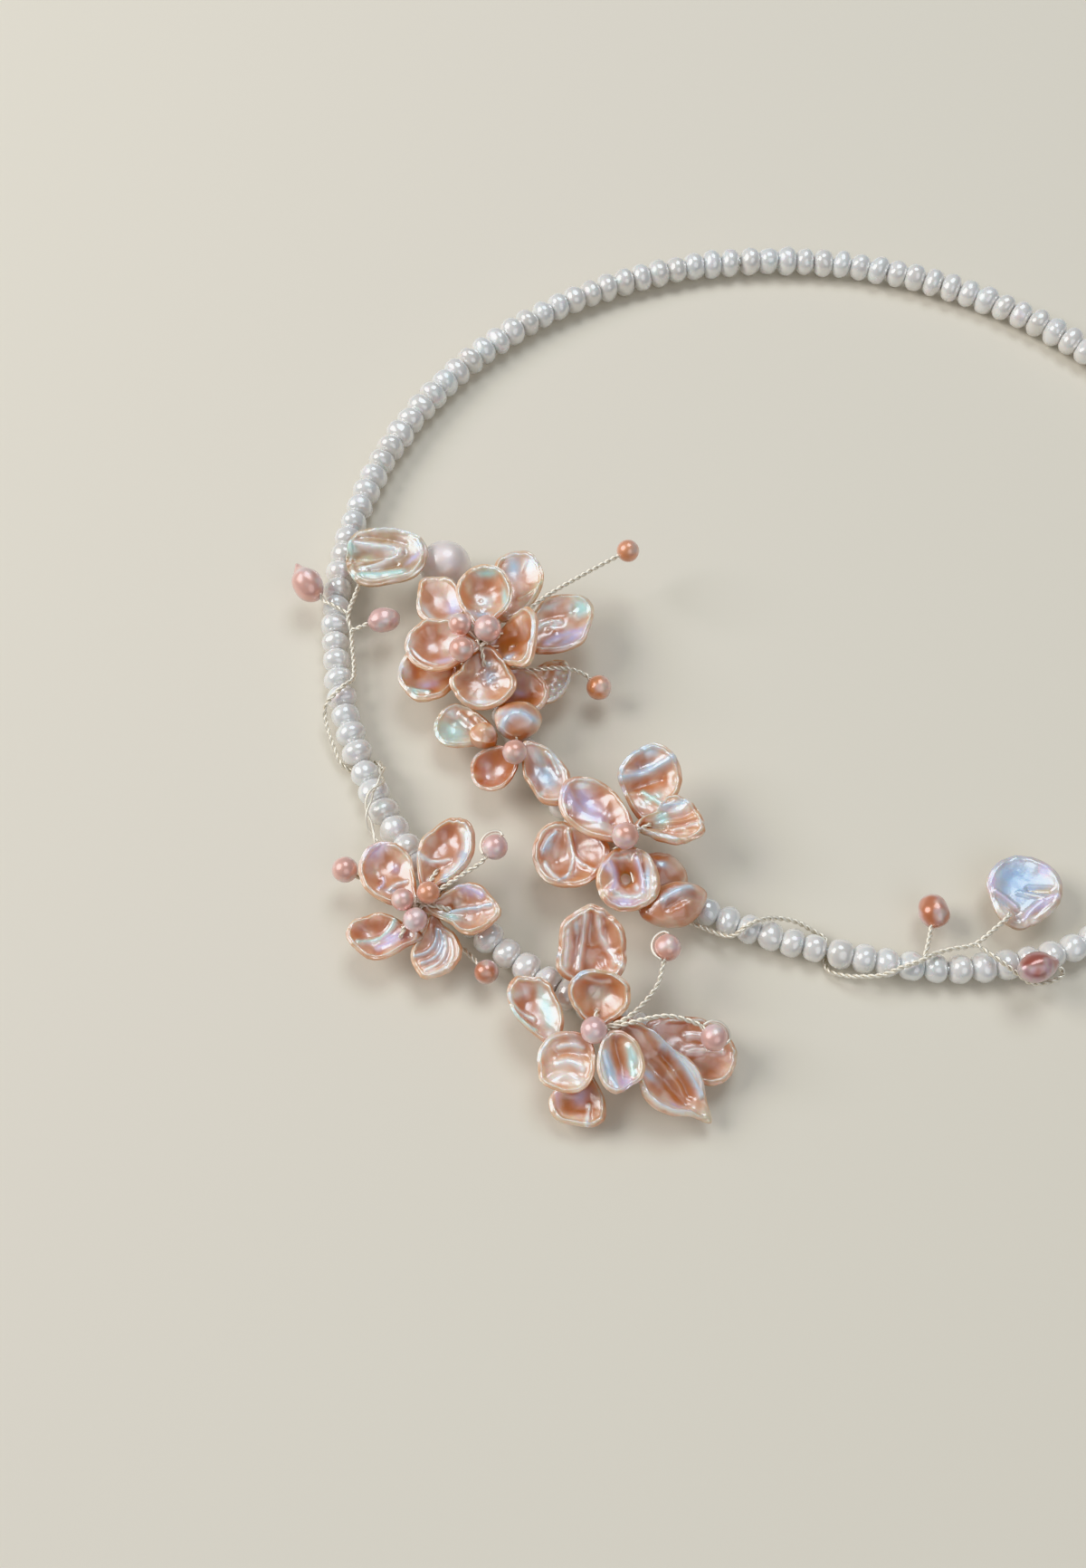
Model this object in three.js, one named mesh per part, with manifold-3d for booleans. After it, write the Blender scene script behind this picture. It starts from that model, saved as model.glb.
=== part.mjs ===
// A pearl collar: small freshwater pearls on one stiff open wire, which runs once round the neck and
// past its own start, with flowers of petal pearls and two wire vines tied to it.
// Millimetres, +Z up. The collar lies on the plane z = 0, and the origin is its box's middle on that plane.
// Bearings are degrees anticlockwise from +X about the ring's centre, and fall along the strand.
import * as THREE from "three";
import { mergeVertices } from "three/addons/utils/BufferGeometryUtils.js";
import Module from "manifold-3d";

const wasm = await Module();
wasm.setup();

// ---- Driving dimensions ----
const RING_CENTRE = new THREE.Vector3(2.4, 2.3, 0);
const GAP = 0.3; // between any two pieces
const BEAD_PITCH = 2.9;
const BEAD_SIDES = 8;
const NECK_RADIUS = 1.3; // of the strand between two beads
const WIRE_RADIUS = 0.5; // the stiff wire that the beads are threaded on
const BORE_RADIUS = 0.9;
const END_BORE_RADIUS = 1.15;
const BEADS_PER_BORE_STEP = 2;
const CORE_STEPS = 84;
const END_PEARL_RADIUS = 3.65;
const END_PEARL_BANDS = 7;
const END_RISE = 1.7; // the inner end climbs to the middle of its large pearl
const END_RISE_FROM = -160;
const COLLAR = { length: 1.2, inner: 0.8, outer: 1.4 }; // the wrap that ties a flower to the stiff wire
const VINE_WIRE_RADIUS = 0.28; // a twisted pair, taken as one round wire
const STALK_RADIUS = 0.22;
const STALK_STANDOFF = 0.5; // from a stalk's end to its petal's root
const POST_RADIUS = 0.45;
const STALKS_ABOVE = 2.6; // the stiff wire, so that they pass over the beads
const HUB_RADIUS = 0.85;

// The strand's route in plan, and the beads' diameter along it.
const ROUTE = [
  { bearing: 254, radius: 66, bead: 4.1 },
  { bearing: 220, radius: 66, bead: 4.2 },
  { bearing: 180, radius: 66, bead: 4.3 },
  { bearing: 90, radius: 66, bead: 4.5 },
  { bearing: 30, radius: 66, bead: 4.4 },
  { bearing: 0, radius: 65, bead: 4.3 },
  { bearing: -30, radius: 62, bead: 4.1 },
  { bearing: -60, radius: 58, bead: 3.9 },
  { bearing: -75, radius: 55.1, bead: 3.9 },
  { bearing: -90, radius: 51.4, bead: 3.9 },
  { bearing: -104, radius: 49.3, bead: 3.9 },
  { bearing: -125, radius: 47.3, bead: 3.9 },
  { bearing: -140, radius: 46.2, bead: 4.0 },
  { bearing: -156, radius: 45.7, bead: 4.0 },
  { bearing: -170, radius: 47.2, bead: 4.0 },
  { bearing: -187, radius: 51.4, bead: 4.0 },
];

// Where the beads stop, for how much of the stiff wire, and which strand follows.
const COLLAR_STOP = COLLAR.length + 2 * GAP;
const VINE_STOP = 2 * VINE_WIRE_RADIUS + 2 * GAP;
const STOPS = [
  { bearing: 250.4, length: 0, next: "strand_outer_tip" },
  { bearing: 243.3, length: COLLAR_STOP, next: "strand_between_outer_flowers" },
  { bearing: 221.2, length: COLLAR_STOP, next: "strand_under_left_vine" },
  { bearing: 202, length: VINE_STOP, next: "strand_left" },
  { bearing: 95, length: GAP, next: "strand_back" },
  { bearing: -10, length: GAP, next: "strand_right" },
  { bearing: -92.4, length: VINE_STOP, next: "strand_front" },
  { bearing: -125.3, length: COLLAR_STOP, next: "strand_between_inner_flowers" },
  { bearing: -148.1, length: COLLAR_STOP, next: "strand_to_top_flower" },
  { bearing: -167, length: COLLAR_STOP, next: "strand_inner_tip" },
  { bearing: -186.3, length: 0, next: null },
];

// ---- Petals ----
// Each form is a flat ball drawn out along its length. Lengths are in mm, the rest are shares of the size.
// taper narrows the root, point draws out the tip, cup lifts the rim, curl lifts the tip, fold creases it.
const PETAL_SECTORS = 10;
const PETAL_RINGS = 6;
const PLATE_POWER = 0.55; // below 1 the petal is an even plate with a round rim
const POINT_NARROWS = 0.55;
const FORMS = {
  oval: { taper: 0.35, point: 0.0, cup: 1.1, curl: 0.0, fold: 0.0, thick: 1.5 },
  round: { taper: 0.15, point: 0.0, cup: 1.5, curl: 0.0, fold: 0.0, thick: 1.6 },
  pointed: { taper: 0.4, point: 0.5, cup: 0.9, curl: -0.4, fold: 0.3, thick: 1.5 },
  leaf: { taper: 0.3, point: 0.8, cup: 0.5, curl: -1.2, fold: 0.8, thick: 1.5 },
  fan: { taper: 0.6, point: -0.2, cup: 0.5, curl: 0.4, fold: 0.3, thick: 1.5 },
  scroll: { taper: 0.1, point: 0.0, cup: 0.8, curl: 0.8, fold: 0.9, thick: 1.7 },
  bowl: { taper: 0.2, point: 0.0, cup: 2.2, curl: 0.0, fold: 0.0, thick: 1.5 },
  leaf_blade: { taper: 0.1, point: 0.0, cup: 0.3, curl: 0.4, fold: 0.8, thick: 1.4 },
  dome: { taper: 0.2, point: 0.0, cup: -1.4, curl: -0.6, fold: 0.0, thick: 1.8 },
};

// A petal's root is at x, y, z from its flower's hub. From there it runs towards heading, at pitch above
// the level, turned by roll about its own length. Its stalk runs by way of the point via, where it has one.
const petal = (name, form, x, y, z, heading, pitch, roll, length, width, via = null) =>
  ({ name, form, root: new THREE.Vector3(x, y, z), heading, pitch, roll, length, width, via });

// out and height place the hub from the strand's middle and from the table. Each pearl is x, y, z from the
// hub and its diameter. A spray is a wire stem through its points, with a pearl of that size on its end.
const FLOWERS = [
  {
    name: "flower_a", bearing: 221.2, out: 3.9, height: 5.0,
    pearls: [[-1.7, -0.2, 2.4, 2.8], [1.4, 0.6, 2.6, 2.8], [-0.1, -2.6, 1.8, 3.0]],
    sprays: [
      { pearl: 3.3, stem: [[-4, 2.6, -1.8], [-7.4, 4.0, -0.8], [-9.3, 4.8, 0]] },
      { pearl: 3.2, stem: [[1.0, 0.6, 0.6], [4.6, 2.8, 1.6], [7.6, 4.4, 2.8], [9.5, 6.3, 3.5]] },
      { pearl: 3.0, stem: [[2.4, -2.2, -2.7], [5.8, -5.0, -2.5], [8.5, -8.1, -1.5]] },
    ],
    petals: [
      petal("petal_a1", "oval", -1.2, 0.7, -0.4, 127, 8, 0, 8.9, 7.0),
      petal("petal_a2", "pointed", 1.0, 1.9, 0.0, 64, 12, 0, 10.0, 7.9),
      petal("petal_a3", "pointed", 2.2, -0.6, 0.1, -5, 8, 0, 8.2, 7.3),
      petal("petal_a4", "fan", 2.0, -2.1, -0.8, -84, -8, 0, 7.6, 7.4),
      petal("petal_a5", "oval", -1.0, -4.0, -0.8, 178, 0, 0, 7.8, 7.2),
    ],
  },
  {
    name: "flower_b", bearing: 243.3, out: 3.6, height: 6.0,
    pearls: [[0, -0.6, 1.8, 3.2]],
    sprays: [
      {
        pearl: 3.3,
        stem: [[1.4, 0.1, 0.6], [4.4, 1.4, 1.2], [7.4, 4.6, 1.6], [8.4, 7.6, 2.0], [8.9, 9.5, 2.0]],
      },
      {
        pearl: 3.2,
        stem: [[1.4, -0.2, 0.7], [5.4, 0.7, 1.4], [8.8, 1.2, 1.5], [12.0, 0.4, 1.2], [14.1, -1.1, 0.5]],
      },
    ],
    petals: [
      petal("petal_b1", "scroll", -0.2, 5.4, -1.2, 89, 22, 0, 10.2, 8.8),
      petal("petal_b2", "bowl", 0.4, 1.6, -0.2, 84, 30, 0, 6.2, 7.6),
      petal("petal_b3", "oval", -4.9, -1.0, -1.6, 120, 5, 0, 8.6, 6.8),
      petal("petal_b4", "bowl", -1.3, -0.9, -0.5, -120, -11, 0, 7.2, 7.0),
      petal("petal_b5", "fan", -1.0, -4.1, -3.7, -100, -6, 0, 6.7, 7.6),
      petal("petal_b6", "oval", 2.2, -1.2, 1.3, -80, -8, 0, 7.2, 5.8),
      petal("petal_b7", "leaf", 4.0, 0.0, -0.6, -46, -9, 0, 14.0, 9.0),
      petal("petal_b8", "oval", 10.1, -0.5, -3.3, -25, -3, 0, 7.4, 7.0, [8.0, 0.2, -1.0]),
    ],
  },
  {
    name: "flower_c", bearing: -125.3, out: -0.4, height: 7.0,
    pearls: [[0, -0.3, 2.3, 3.4]],
    sprays: [],
    petals: [
      petal("petal_c1", "oval", 0.2, 1.1, 0.0, 140, 5, 0, 10.1, 7.2),
      petal("petal_c2", "round", -3.4, -1.1, -2.0, -176, -2, 0, 8.0, 9.6),
      petal("petal_c3", "scroll", 0.1, -1.2, -0.2, -88, -10, 0, 8.2, 8.0),
      petal("petal_c4", "oval", 2.7, 4.2, -1.6, 82, 16, 0, 9.4, 9.2),
      petal("petal_c5", "fan", 2.0, 1.9, 0.0, 6, 4, 0, 8.2, 7.4),
      petal("petal_c6", "oval", 2.4, -1.5, -1.5, -37, 0, 0, 5.2, 5.0),
      petal("petal_c7", "dome", 1.9, -8.7, -1.2, 12, 1, 0, 9.2, 5.8, [1.0, -4.5, -2.5]),
    ],
  },
  {
    name: "flower_d", bearing: -148.1, out: 2.3, height: 6.5,
    pearls: [[0, -0.8, 1.5, 3.2]],
    sprays: [],
    petals: [
      petal("petal_d1", "oval", -4.2, 3.8, -2.9, 158, -2, 0, 6.8, 7.0, [-2.0, 2.3, -3.7]),
      petal("petal_d2", "dome", 0.2, 2.0, -0.2, 93, 14, 0, 5.4, 7.2),
      petal("petal_d3", "bowl", -0.9, -0.4, -1.5, -148, -15, 0, 7.0, 6.6),
      petal("petal_d4", "oval", 1.5, 0.6, -0.5, -58, -8, 0, 7.4, 6.2),
      petal("petal_d5", "oval", -2.5, 1.5, -1.3, 148, 2, 0, 3.8, 3.4),
    ],
  },
  {
    name: "flower_e", bearing: -167, out: -0.1, height: 9.0,
    pearls: [[-2.7, 1.5, 2.2, 3.1], [0.9, 1.0, 2.0, 3.6], [-2.4, -2.2, 2.0, 3.3]],
    sprays: [
      { pearl: 3.1, stem: [[2.0, 1.6, -1.0], [8, 7.6, -1.0], [14, 11.6, -0.6], [19.8, 14.9, 0]] },
      { pearl: 3.4, stem: [[4, -1.2, -4.4], [10.6, -1.6, -3.6], [13.6, -2.2, -4.1], [15.7, -3.8, -5]] },
    ],
    petals: [
      petal("petal_e1", "bowl", -1.9, -0.7, -0.8, 168, -4, 0, 8.2, 8.0),
      petal("petal_e2", "bowl", 0.2, 3.0, 0.0, 89, 10, 0, 8.2, 8.0),
      petal("petal_e3", "oval", -2.9, 4.3, -2.6, 128, 2, 0, 8.2, 6.2),
      petal("petal_e4", "oval", 3.0, 5.7, -2.2, 70, 7, 0, 9.8, 7.2),
      petal("petal_e5", "oval", 2.9, 0.1, -1.8, -2, 45, 0, 6.8, 8.4),
      petal("petal_e6", "pointed", 7.0, 2.0, -3.4, 36, 5, 0, 9.8, 8.2),
      petal("petal_e7", "scroll", 0.5, -1.7, -0.8, -92, -18, 0, 7.0, 8.6),
      petal("petal_e8", "oval", -3.7, -1.9, -4.0, -168, -2, 0, 7.6, 9.0),
      petal("petal_e9", "scroll", 6.6, -1.0, -6.1, -35, -4, 0, 6.4, 7.2),
      petal("petal_e10", "oval", 3.0, -2.9, -3.3, -50, -3, 0, 5.4, 5.2),
    ],
  },
];

// ---- Vines ----
// A point of a vine's wire: its bearing, how far out from the strand's middle, and its height.
const LEFT_VINE = {
  name: "left_vine",
  wires: [
    [
      [178.2, -3.0, 5.5], [179.8, -3.2, 5.0], [182.9, -3.2, 4.4], [186.4, -3.1, 3.6], [189.6, -3.0, 3.4],
      [191.9, -2.3, 4.4], [193.0, -0.6, 5.3], [194.2, 1.8, 4.7], [195.2, 3.0, 3.0], [197.5, 3.1, 2.0],
      [200.6, 3.0, 1.5], [202.0, 2.3, 1.2], [202, 1.1, 1.05], [202, -1.1, 1.05], [202.0, -2.4, 1.3],
      [203.4, -3.1, 2.6], [205.0, -2.6, 4.2], [206.6, -0.8, 5.3], [208.2, 1.6, 4.8], [210, 3.1, 3.4],
      [213, 3.3, 2.6], [216, 3.4, 2.4], [219.2, 3.4, 2.6],
    ],
    [[182.9, -3.2, 4.4], [181.8, -1.2, 5.3], [180.6, 0.2, 5.5], [180.0, 1.0, 5.5]],
    [[184.9, -3.1, 4.0], [184.7, -3.7, 4.5], [184.5, -4.3, 4.8]],
  ],
  pearls: [
    { name: "left_vine_pointed_pearl", at: [178.7, 3.7, 5.3], long: 6.0, wide: 4.3, heading: 120, pitch: 12 },
    { name: "left_vine_oval_pearl", at: [184.1, -6.9, 5.0], long: 4.4, wide: 3.4, heading: 10, pitch: 0 },
  ],
  leaf: { at: [176.4, -1.3, 6.0], petal: petal("left_vine_leaf", "leaf_blade", 0, 0, 0, 8, 6, 0, 11.8, 8.8) },
};
const RIGHT_VINE = {
  name: "right_vine",
  wires: [
    [
      [-112, 2.8, 2.2], [-107.6, 2.6, 3.2], [-105.6, 1.8, 4.3], [-104.2, 0.3, 4.9], [-102.1, -1.5, 4.4],
      [-99.6, -2.8, 2.9], [-97, -2.9, 2.2], [-94.6, -2.8, 1.5], [-92.4, -2.2, 1.05], [-92.4, -1.0, 0.87],
      [-92.4, 1.0, 0.87], [-92.4, 2.2, 1.05], [-90.2, 2.8, 1.5], [-88.2, 2.9, 2.2], [-85.8, 2.6, 3.2],
      [-83.3, 1.6, 4.4], [-80.3, -0.1, 4.9], [-78.6, -1.3, 4.8], [-76.1, -2.3, 4.6], [-73, -2.8, 4.7],
      [-69.8, -4.2, 5.0], [-66.8, -5.6, 4.8],
    ],
    [[-80.3, -0.1, 4.9], [-79, -2.4, 4.6], [-77.6, -4.8, 3.9]],
    [
      [-73, -2.8, 4.7], [-71.6, -0.5, 5.0], [-69.9, 2.4, 4.1], [-68.2, 3.6, 3.2], [-66, 3.9, 3.3],
      [-64, 3.4, 4.3],
    ],
  ],
  pearls: [
    { name: "right_vine_oval_pearl", at: [-76.2, -7.3, 3.3], long: 4.5, wide: 3.8, heading: 100, pitch: -10 },
    { name: "right_vine_red_pearl", at: [-67.8, 2.1, 5.8], long: 5.2, wide: 3.6, heading: 20, pitch: -4 },
  ],
  leaf: { at: [-66.0, -4.3, 3.4], petal: petal("right_vine_leaf", "leaf_blade", 0, 0, 0, 78, 0, 0, 9.8, 9.2) },
};

// ---- Small helpers ----
const RAD = Math.PI / 180;
const UP = new THREE.Vector3(0, 0, 1);
const heading = (bearing, pitch = 0) => new THREE.Vector3(
  Math.cos(bearing * RAD) * Math.cos(pitch * RAD),
  Math.sin(bearing * RAD) * Math.cos(pitch * RAD),
  Math.sin(pitch * RAD),
);

// A smooth value between the rows of a table, by cubic pieces whose slopes are those of the neighbours.
function between(rows, key, bearing) {
  const last = rows.length - 1;
  const i = THREE.MathUtils.clamp(rows.findIndex((row) => row.bearing <= bearing) - 1, 0, last - 1);
  const slope = (k) => {
    const before = rows[Math.max(k - 1, 0)];
    const after = rows[Math.min(k + 1, last)];
    return (after[key] - before[key]) / (after.bearing - before.bearing);
  };
  const step = rows[i + 1].bearing - rows[i].bearing;
  const t = (bearing - rows[i].bearing) / step;
  const rise = t * t * (3 - 2 * t);
  return (1 - rise) * rows[i][key] + rise * rows[i + 1][key]
    + step * t * (1 - t) * ((1 - t) * slope(i) - t * slope(i + 1));
}

// A point beside the strand: out from its middle, away from the ring's centre, and height above the table.
function beside(bearing, out, height) {
  return heading(bearing).multiplyScalar(between(ROUTE, "radius", bearing) + out).setZ(height);
}

class StrandRoute extends THREE.Curve {
  getPoint(t, target = new THREE.Vector3()) {
    const bearing = THREE.MathUtils.lerp(STOPS[0].bearing, STOPS.at(-1).bearing, t);
    const rise = END_RISE * THREE.MathUtils.smoothstep(-bearing, -END_RISE_FROM, -STOPS.at(-1).bearing);
    return target.copy(beside(bearing, 0, between(ROUTE, "bead", bearing) / 2 + rise));
  }
}
const route = new StrandRoute();
route.arcLengthDivisions = 2000;
const ROUTE_LENGTH = route.getLength();

// How far along the route a bearing lies.
function distanceTo(bearing) {
  const share = (bearing - STOPS[0].bearing) / (STOPS.at(-1).bearing - STOPS[0].bearing);
  const lengths = route.getLengths();
  const at = share * (lengths.length - 1);
  const i = Math.min(Math.floor(at), lengths.length - 2);
  return THREE.MathUtils.lerp(lengths[i], lengths[i + 1], at - i);
}
const shareAlong = (distance) => THREE.MathUtils.clamp(distance / ROUTE_LENGTH, 0, 1);
const pointAlong = (distance) => route.getPointAt(shareAlong(distance));
const directionAlong = (distance) => route.getTangentAt(shareAlong(distance));
function bearingAlong(distance) {
  const point = pointAlong(distance);
  const plain = Math.atan2(point.y, point.x) / RAD;
  const rough = THREE.MathUtils.lerp(STOPS[0].bearing, STOPS.at(-1).bearing, distance / ROUTE_LENGTH);
  return plain + 360 * Math.round((rough - plain) / 360);
}

// ---- Solids from geometry, and back ----
function solid(geometry) {
  const bare = new THREE.BufferGeometry().setAttribute("position", geometry.getAttribute("position"));
  const merged = mergeVertices(geometry.index ? bare.setIndex(geometry.index) : bare, 1e-4);
  return new wasm.Manifold(new wasm.Mesh({
    numProp: 3,
    vertProperties: new Float32Array(merged.attributes.position.array),
    triVerts: new Uint32Array(merged.index.array),
  }));
}
function geometryOf(manifold) {
  const mesh = manifold.getMesh();
  return new THREE.BufferGeometry()
    .setAttribute("position", new THREE.BufferAttribute(mesh.vertProperties, 3))
    .setIndex(new THREE.BufferAttribute(mesh.triVerts, 1));
}
const joined = (geometries) => geometryOf(geometries.map(solid).reduce((sum, next) => sum.add(next)));

// ---- Parts of wire ----
function wireAlong(curve, radius, steps, sides = 6) {
  const corners = Array.from({ length: sides }, (_, i) =>
    new THREE.Vector2(radius, 0).rotateAround(new THREE.Vector2(), (i / sides) * 2 * Math.PI));
  const section = new THREE.Shape(corners);
  return new THREE.ExtrudeGeometry(section, { steps, bevelEnabled: false, extrudePath: curve });
}
const straightWire = (from, to, radius) => wireAlong(new THREE.LineCurve3(from, to), radius, 1);
const bentWire = (points, radius, steps) => wireAlong(new THREE.CatmullRomCurve3(points), radius, steps, 5);
function ball(centre, radius, detail = 1) {
  return new THREE.IcosahedronGeometry(radius, detail).translate(centre.x, centre.y, centre.z);
}

// ---- The strand ----
// A ring of corners about the route. One side faces straight down, so that a bead has a flat to lie on.
function ringAt(distance, radius) {
  const centre = pointAlong(distance);
  const ahead = directionAlong(distance).setZ(0).normalize();
  const side = new THREE.Vector3().crossVectors(UP, ahead);
  const corner = radius / Math.cos(Math.PI / BEAD_SIDES);
  return Array.from({ length: BEAD_SIDES }, (_, i) => {
    const turn = ((i + 0.5) / BEAD_SIDES) * 2 * Math.PI;
    return centre.clone()
      .addScaledVector(side, corner * Math.sin(turn))
      .addScaledVector(UP, -corner * Math.cos(turn));
  });
}

// One closed skin over a row of rings: out along the beads, and back along the bore.
function skin(rings) {
  const corners = rings.flat(), index = [];
  rings.forEach((_, row) => {
    const next = (row + 1) % rings.length;
    for (let i = 0; i < BEAD_SIDES; i++) {
      const j = (i + 1) % BEAD_SIDES;
      const [here, beyond] = [row * BEAD_SIDES, next * BEAD_SIDES];
      index.push(here + i, here + j, beyond + j, here + i, beyond + j, beyond + i);
    }
  });
  return new THREE.BufferGeometry().setFromPoints(corners).setIndex(index);
}

// Where the widest stretch of a bead starts and ends, as a share of its pitch.
const BEAD_SHOULDERS = [0.32, 0.68];
function strandGeometry(from, to) {
  const count = Math.max(1, Math.round((to - from) / BEAD_PITCH));
  const pitch = (to - from) / count;
  const outer = [ringAt(from, NECK_RADIUS)];
  const bore = [];
  for (let i = 0; i < count; i++) {
    const start = from + i * pitch;
    const radius = between(ROUTE, "bead", bearingAlong(start + pitch / 2)) / 2;
    for (const shoulder of BEAD_SHOULDERS) outer.push(ringAt(start + shoulder * pitch, radius));
    outer.push(ringAt(start + pitch, NECK_RADIUS));
    if ((count - i) % BEADS_PER_BORE_STEP === 0 || i === 0) bore.push(ringAt(start, BORE_RADIUS));
  }
  bore.push(ringAt(to, BORE_RADIUS));
  return skin([...outer, ...bore.reverse()]);
}

// A round pearl about the origin with a blind hole from its -Y side to just past its middle.
function endPearlGeometry() {
  const low = Math.asin(END_BORE_RADIUS / END_PEARL_RADIUS);
  const bottom = 2 * GAP;
  const profile = [new THREE.Vector2(0, bottom), new THREE.Vector2(END_BORE_RADIUS, bottom)];
  for (let i = 0; i <= END_PEARL_BANDS; i++) {
    const turn = low + (i / END_PEARL_BANDS) * (Math.PI - low);
    profile.push(new THREE.Vector2(Math.sin(turn), -Math.cos(turn)).multiplyScalar(END_PEARL_RADIUS));
  }
  profile.at(-1).x = 0;
  return new THREE.LatheGeometry(profile, 12);
}

// ---- Petals ----
function petalGeometry({ form, length, width }) {
  const { taper, point, cup, curl, fold, thick } = FORMS[form];
  const ball = new THREE.SphereGeometry(1, PETAL_SECTORS, PETAL_RINGS).rotateX(Math.PI / 2);
  const at = ball.getAttribute("position");
  for (let i = 0; i < at.count; i++) {
    const [x, y, z] = [at.getX(i), at.getY(i), at.getZ(i)];
    const narrow = (1 - taper * ((1 - x) / 2) ** 2) * (1 - point * Math.max(x, 0) ** 2 * POINT_NARROWS);
    const plate = Math.sign(z) * Math.abs(z) ** PLATE_POWER * (thick / 2);
    const middle = cup * (x ** 2 + y ** 2 - 0.5) + curl * ((1 + x) / 2) ** 2 + fold * Math.abs(y);
    at.setXYZ(i, (length / 2) * (1 + x), (width / 2) * y * narrow, plate + middle);
  }
  return ball;
}
function petalPlace({ root, heading: towards, pitch, roll }, hub) {
  const length = heading(towards, pitch);
  const face = UP.clone().addScaledVector(length, -UP.dot(length)).normalize();
  face.applyAxisAngle(length, roll * RAD);
  const turn = new THREE.Matrix4().makeBasis(length, new THREE.Vector3().crossVectors(face, length), face);
  return { root: root.clone().add(hub), turn, length };
}

// ---- The group ----
const colour = (hex, roughness, metalness = 0) => ({ color: hex, roughness, metalness });
const WHITE_PEARL = colour(0xece8e2, 0.25);
const PEACH_PETAL = colour(0xe3b195, 0.22);
const PALE_PETAL = colour(0xe6cdb6, 0.22);
const PINK_PEARL = colour(0xdba592, 0.2);
const CHAMPAGNE_WIRE = colour(0xd9c9a3, 0.3, 1);
const STEEL_WIRE = colour(0xb9b9b6, 0.35, 1);

const collar = new THREE.Group();
collar.position.copy(RING_CENTRE);
function add(name, geometry, finish) {
  const mesh = new THREE.Mesh(geometry, new THREE.MeshStandardMaterial(finish));
  mesh.name = name;
  collar.add(mesh);
  return mesh;
}

function addStrand() {
  add("core_wire", wireAlong(route, WIRE_RADIUS, CORE_STEPS, BEAD_SIDES), STEEL_WIRE);
  for (let i = 0; i + 1 < STOPS.length; i++) {
    const from = distanceTo(STOPS[i].bearing) + STOPS[i].length / 2;
    const short = STOPS[i + 1].next ? STOPS[i + 1].length / 2 : END_PEARL_RADIUS + GAP;
    const to = distanceTo(STOPS[i + 1].bearing) - short;
    add(STOPS[i].next, strandGeometry(from, to), WHITE_PEARL);
  }
  const pearl = add("end_pearl", endPearlGeometry(), WHITE_PEARL);
  pearl.quaternion.setFromUnitVectors(new THREE.Vector3(0, 1, 0), route.getTangentAt(1));
  pearl.position.copy(route.getPointAt(1));
}

// The wrap round the stiff wire, as a short tube about the strand's line.
function wrap(centre, along) {
  const { inner, outer, length } = COLLAR;
  const half = length / 2;
  const profile = [[inner, -half], [outer, -half], [outer, half], [inner, half], [inner, -half]];
  return new THREE.LatheGeometry(profile.map(([x, y]) => new THREE.Vector2(x, y)), 10)
    .applyQuaternion(new THREE.Quaternion().setFromUnitVectors(new THREE.Vector3(0, 1, 0), along))
    .translate(centre.x, centre.y, centre.z);
}
function addPetal(row, hub, finish) {
  const { root, turn } = petalPlace(row, hub);
  const mesh = add(row.name, petalGeometry(row), finish);
  mesh.position.copy(root);
  mesh.quaternion.setFromRotationMatrix(turn);
  return root;
}

// A flower: petals about a knot of wire, which a post joins to a wrap on the stiff wire. Petals that sit
// further out have a stalk from the post. The small pearls are on the same wire, and are one solid with it.
function addFlower(flower) {
  const foot = pointAlong(distanceTo(flower.bearing));
  const hub = beside(flower.bearing, flower.out, flower.height);
  const beyond = (point) => hub.clone().add(new THREE.Vector3(...point));
  const postFrom = foot.clone().addScaledVector(hub.clone().sub(foot).normalize(), COLLAR.inner + GAP);
  const stalksFrom = new THREE.Line3(foot.clone().lerp(hub, STALKS_ABOVE / (hub.z - foot.z)), hub);
  const wires = [
    wrap(foot, directionAlong(distanceTo(flower.bearing))),
    straightWire(postFrom, hub, POST_RADIUS),
    ball(hub, HUB_RADIUS),
  ];
  for (const row of flower.petals) {
    const root = addPetal(row, hub, PEACH_PETAL);
    const way = row.via ? beyond(row.via) : root;
    const start = stalksFrom.closestPointToPoint(way, true, new THREE.Vector3());
    if (start.distanceTo(root) < HUB_RADIUS + 2 * GAP) continue;
    const last = row.via ? way : start;
    const end = root.clone().addScaledVector(root.clone().sub(last).normalize(), -STALK_STANDOFF);
    if (row.via) wires.push(bentWire([start, way, end], STALK_RADIUS, 8));
    else wires.push(straightWire(start, end, STALK_RADIUS));
  }
  for (const [x, y, z, diameter] of flower.pearls) {
    wires.push(straightWire(hub, beyond([x, y, z]), STALK_RADIUS), ball(beyond([x, y, z]), diameter / 2));
  }
  for (const { pearl, stem } of flower.sprays) {
    const points = [hub, ...stem.map(beyond)];
    wires.push(bentWire(points, VINE_WIRE_RADIUS, 2 * points.length), ball(points.at(-1), pearl / 2));
  }
  add(flower.name + "_wire", joined(wires), CHAMPAGNE_WIRE);
}

function addVine({ name, wires, pearls, leaf }) {
  const place = ([bearing, out, height]) => beside(bearing, out, height);
  const tubes = wires.map((rows) => bentWire(rows.map(place), VINE_WIRE_RADIUS, 2 * (rows.length - 1)));
  add(name, joined(tubes), CHAMPAGNE_WIRE);
  for (const { name: pearlName, at, long, wide, heading: towards, pitch } of pearls) {
    const mesh = add(pearlName, new THREE.IcosahedronGeometry(0.5, 1).scale(long, wide, wide), PINK_PEARL);
    mesh.position.copy(place(at));
    mesh.quaternion.setFromUnitVectors(new THREE.Vector3(1, 0, 0), heading(towards, pitch));
  }
  addPetal(leaf.petal, place(leaf.at), PALE_PETAL);
}

addStrand();
FLOWERS.forEach(addFlower);
[LEFT_VINE, RIGHT_VINE].forEach(addVine);

export default collar;
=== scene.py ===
"""The looks of a pearl choker: strand pearls, petal pearls, twisted wires, and the stage they lie on."""

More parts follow.
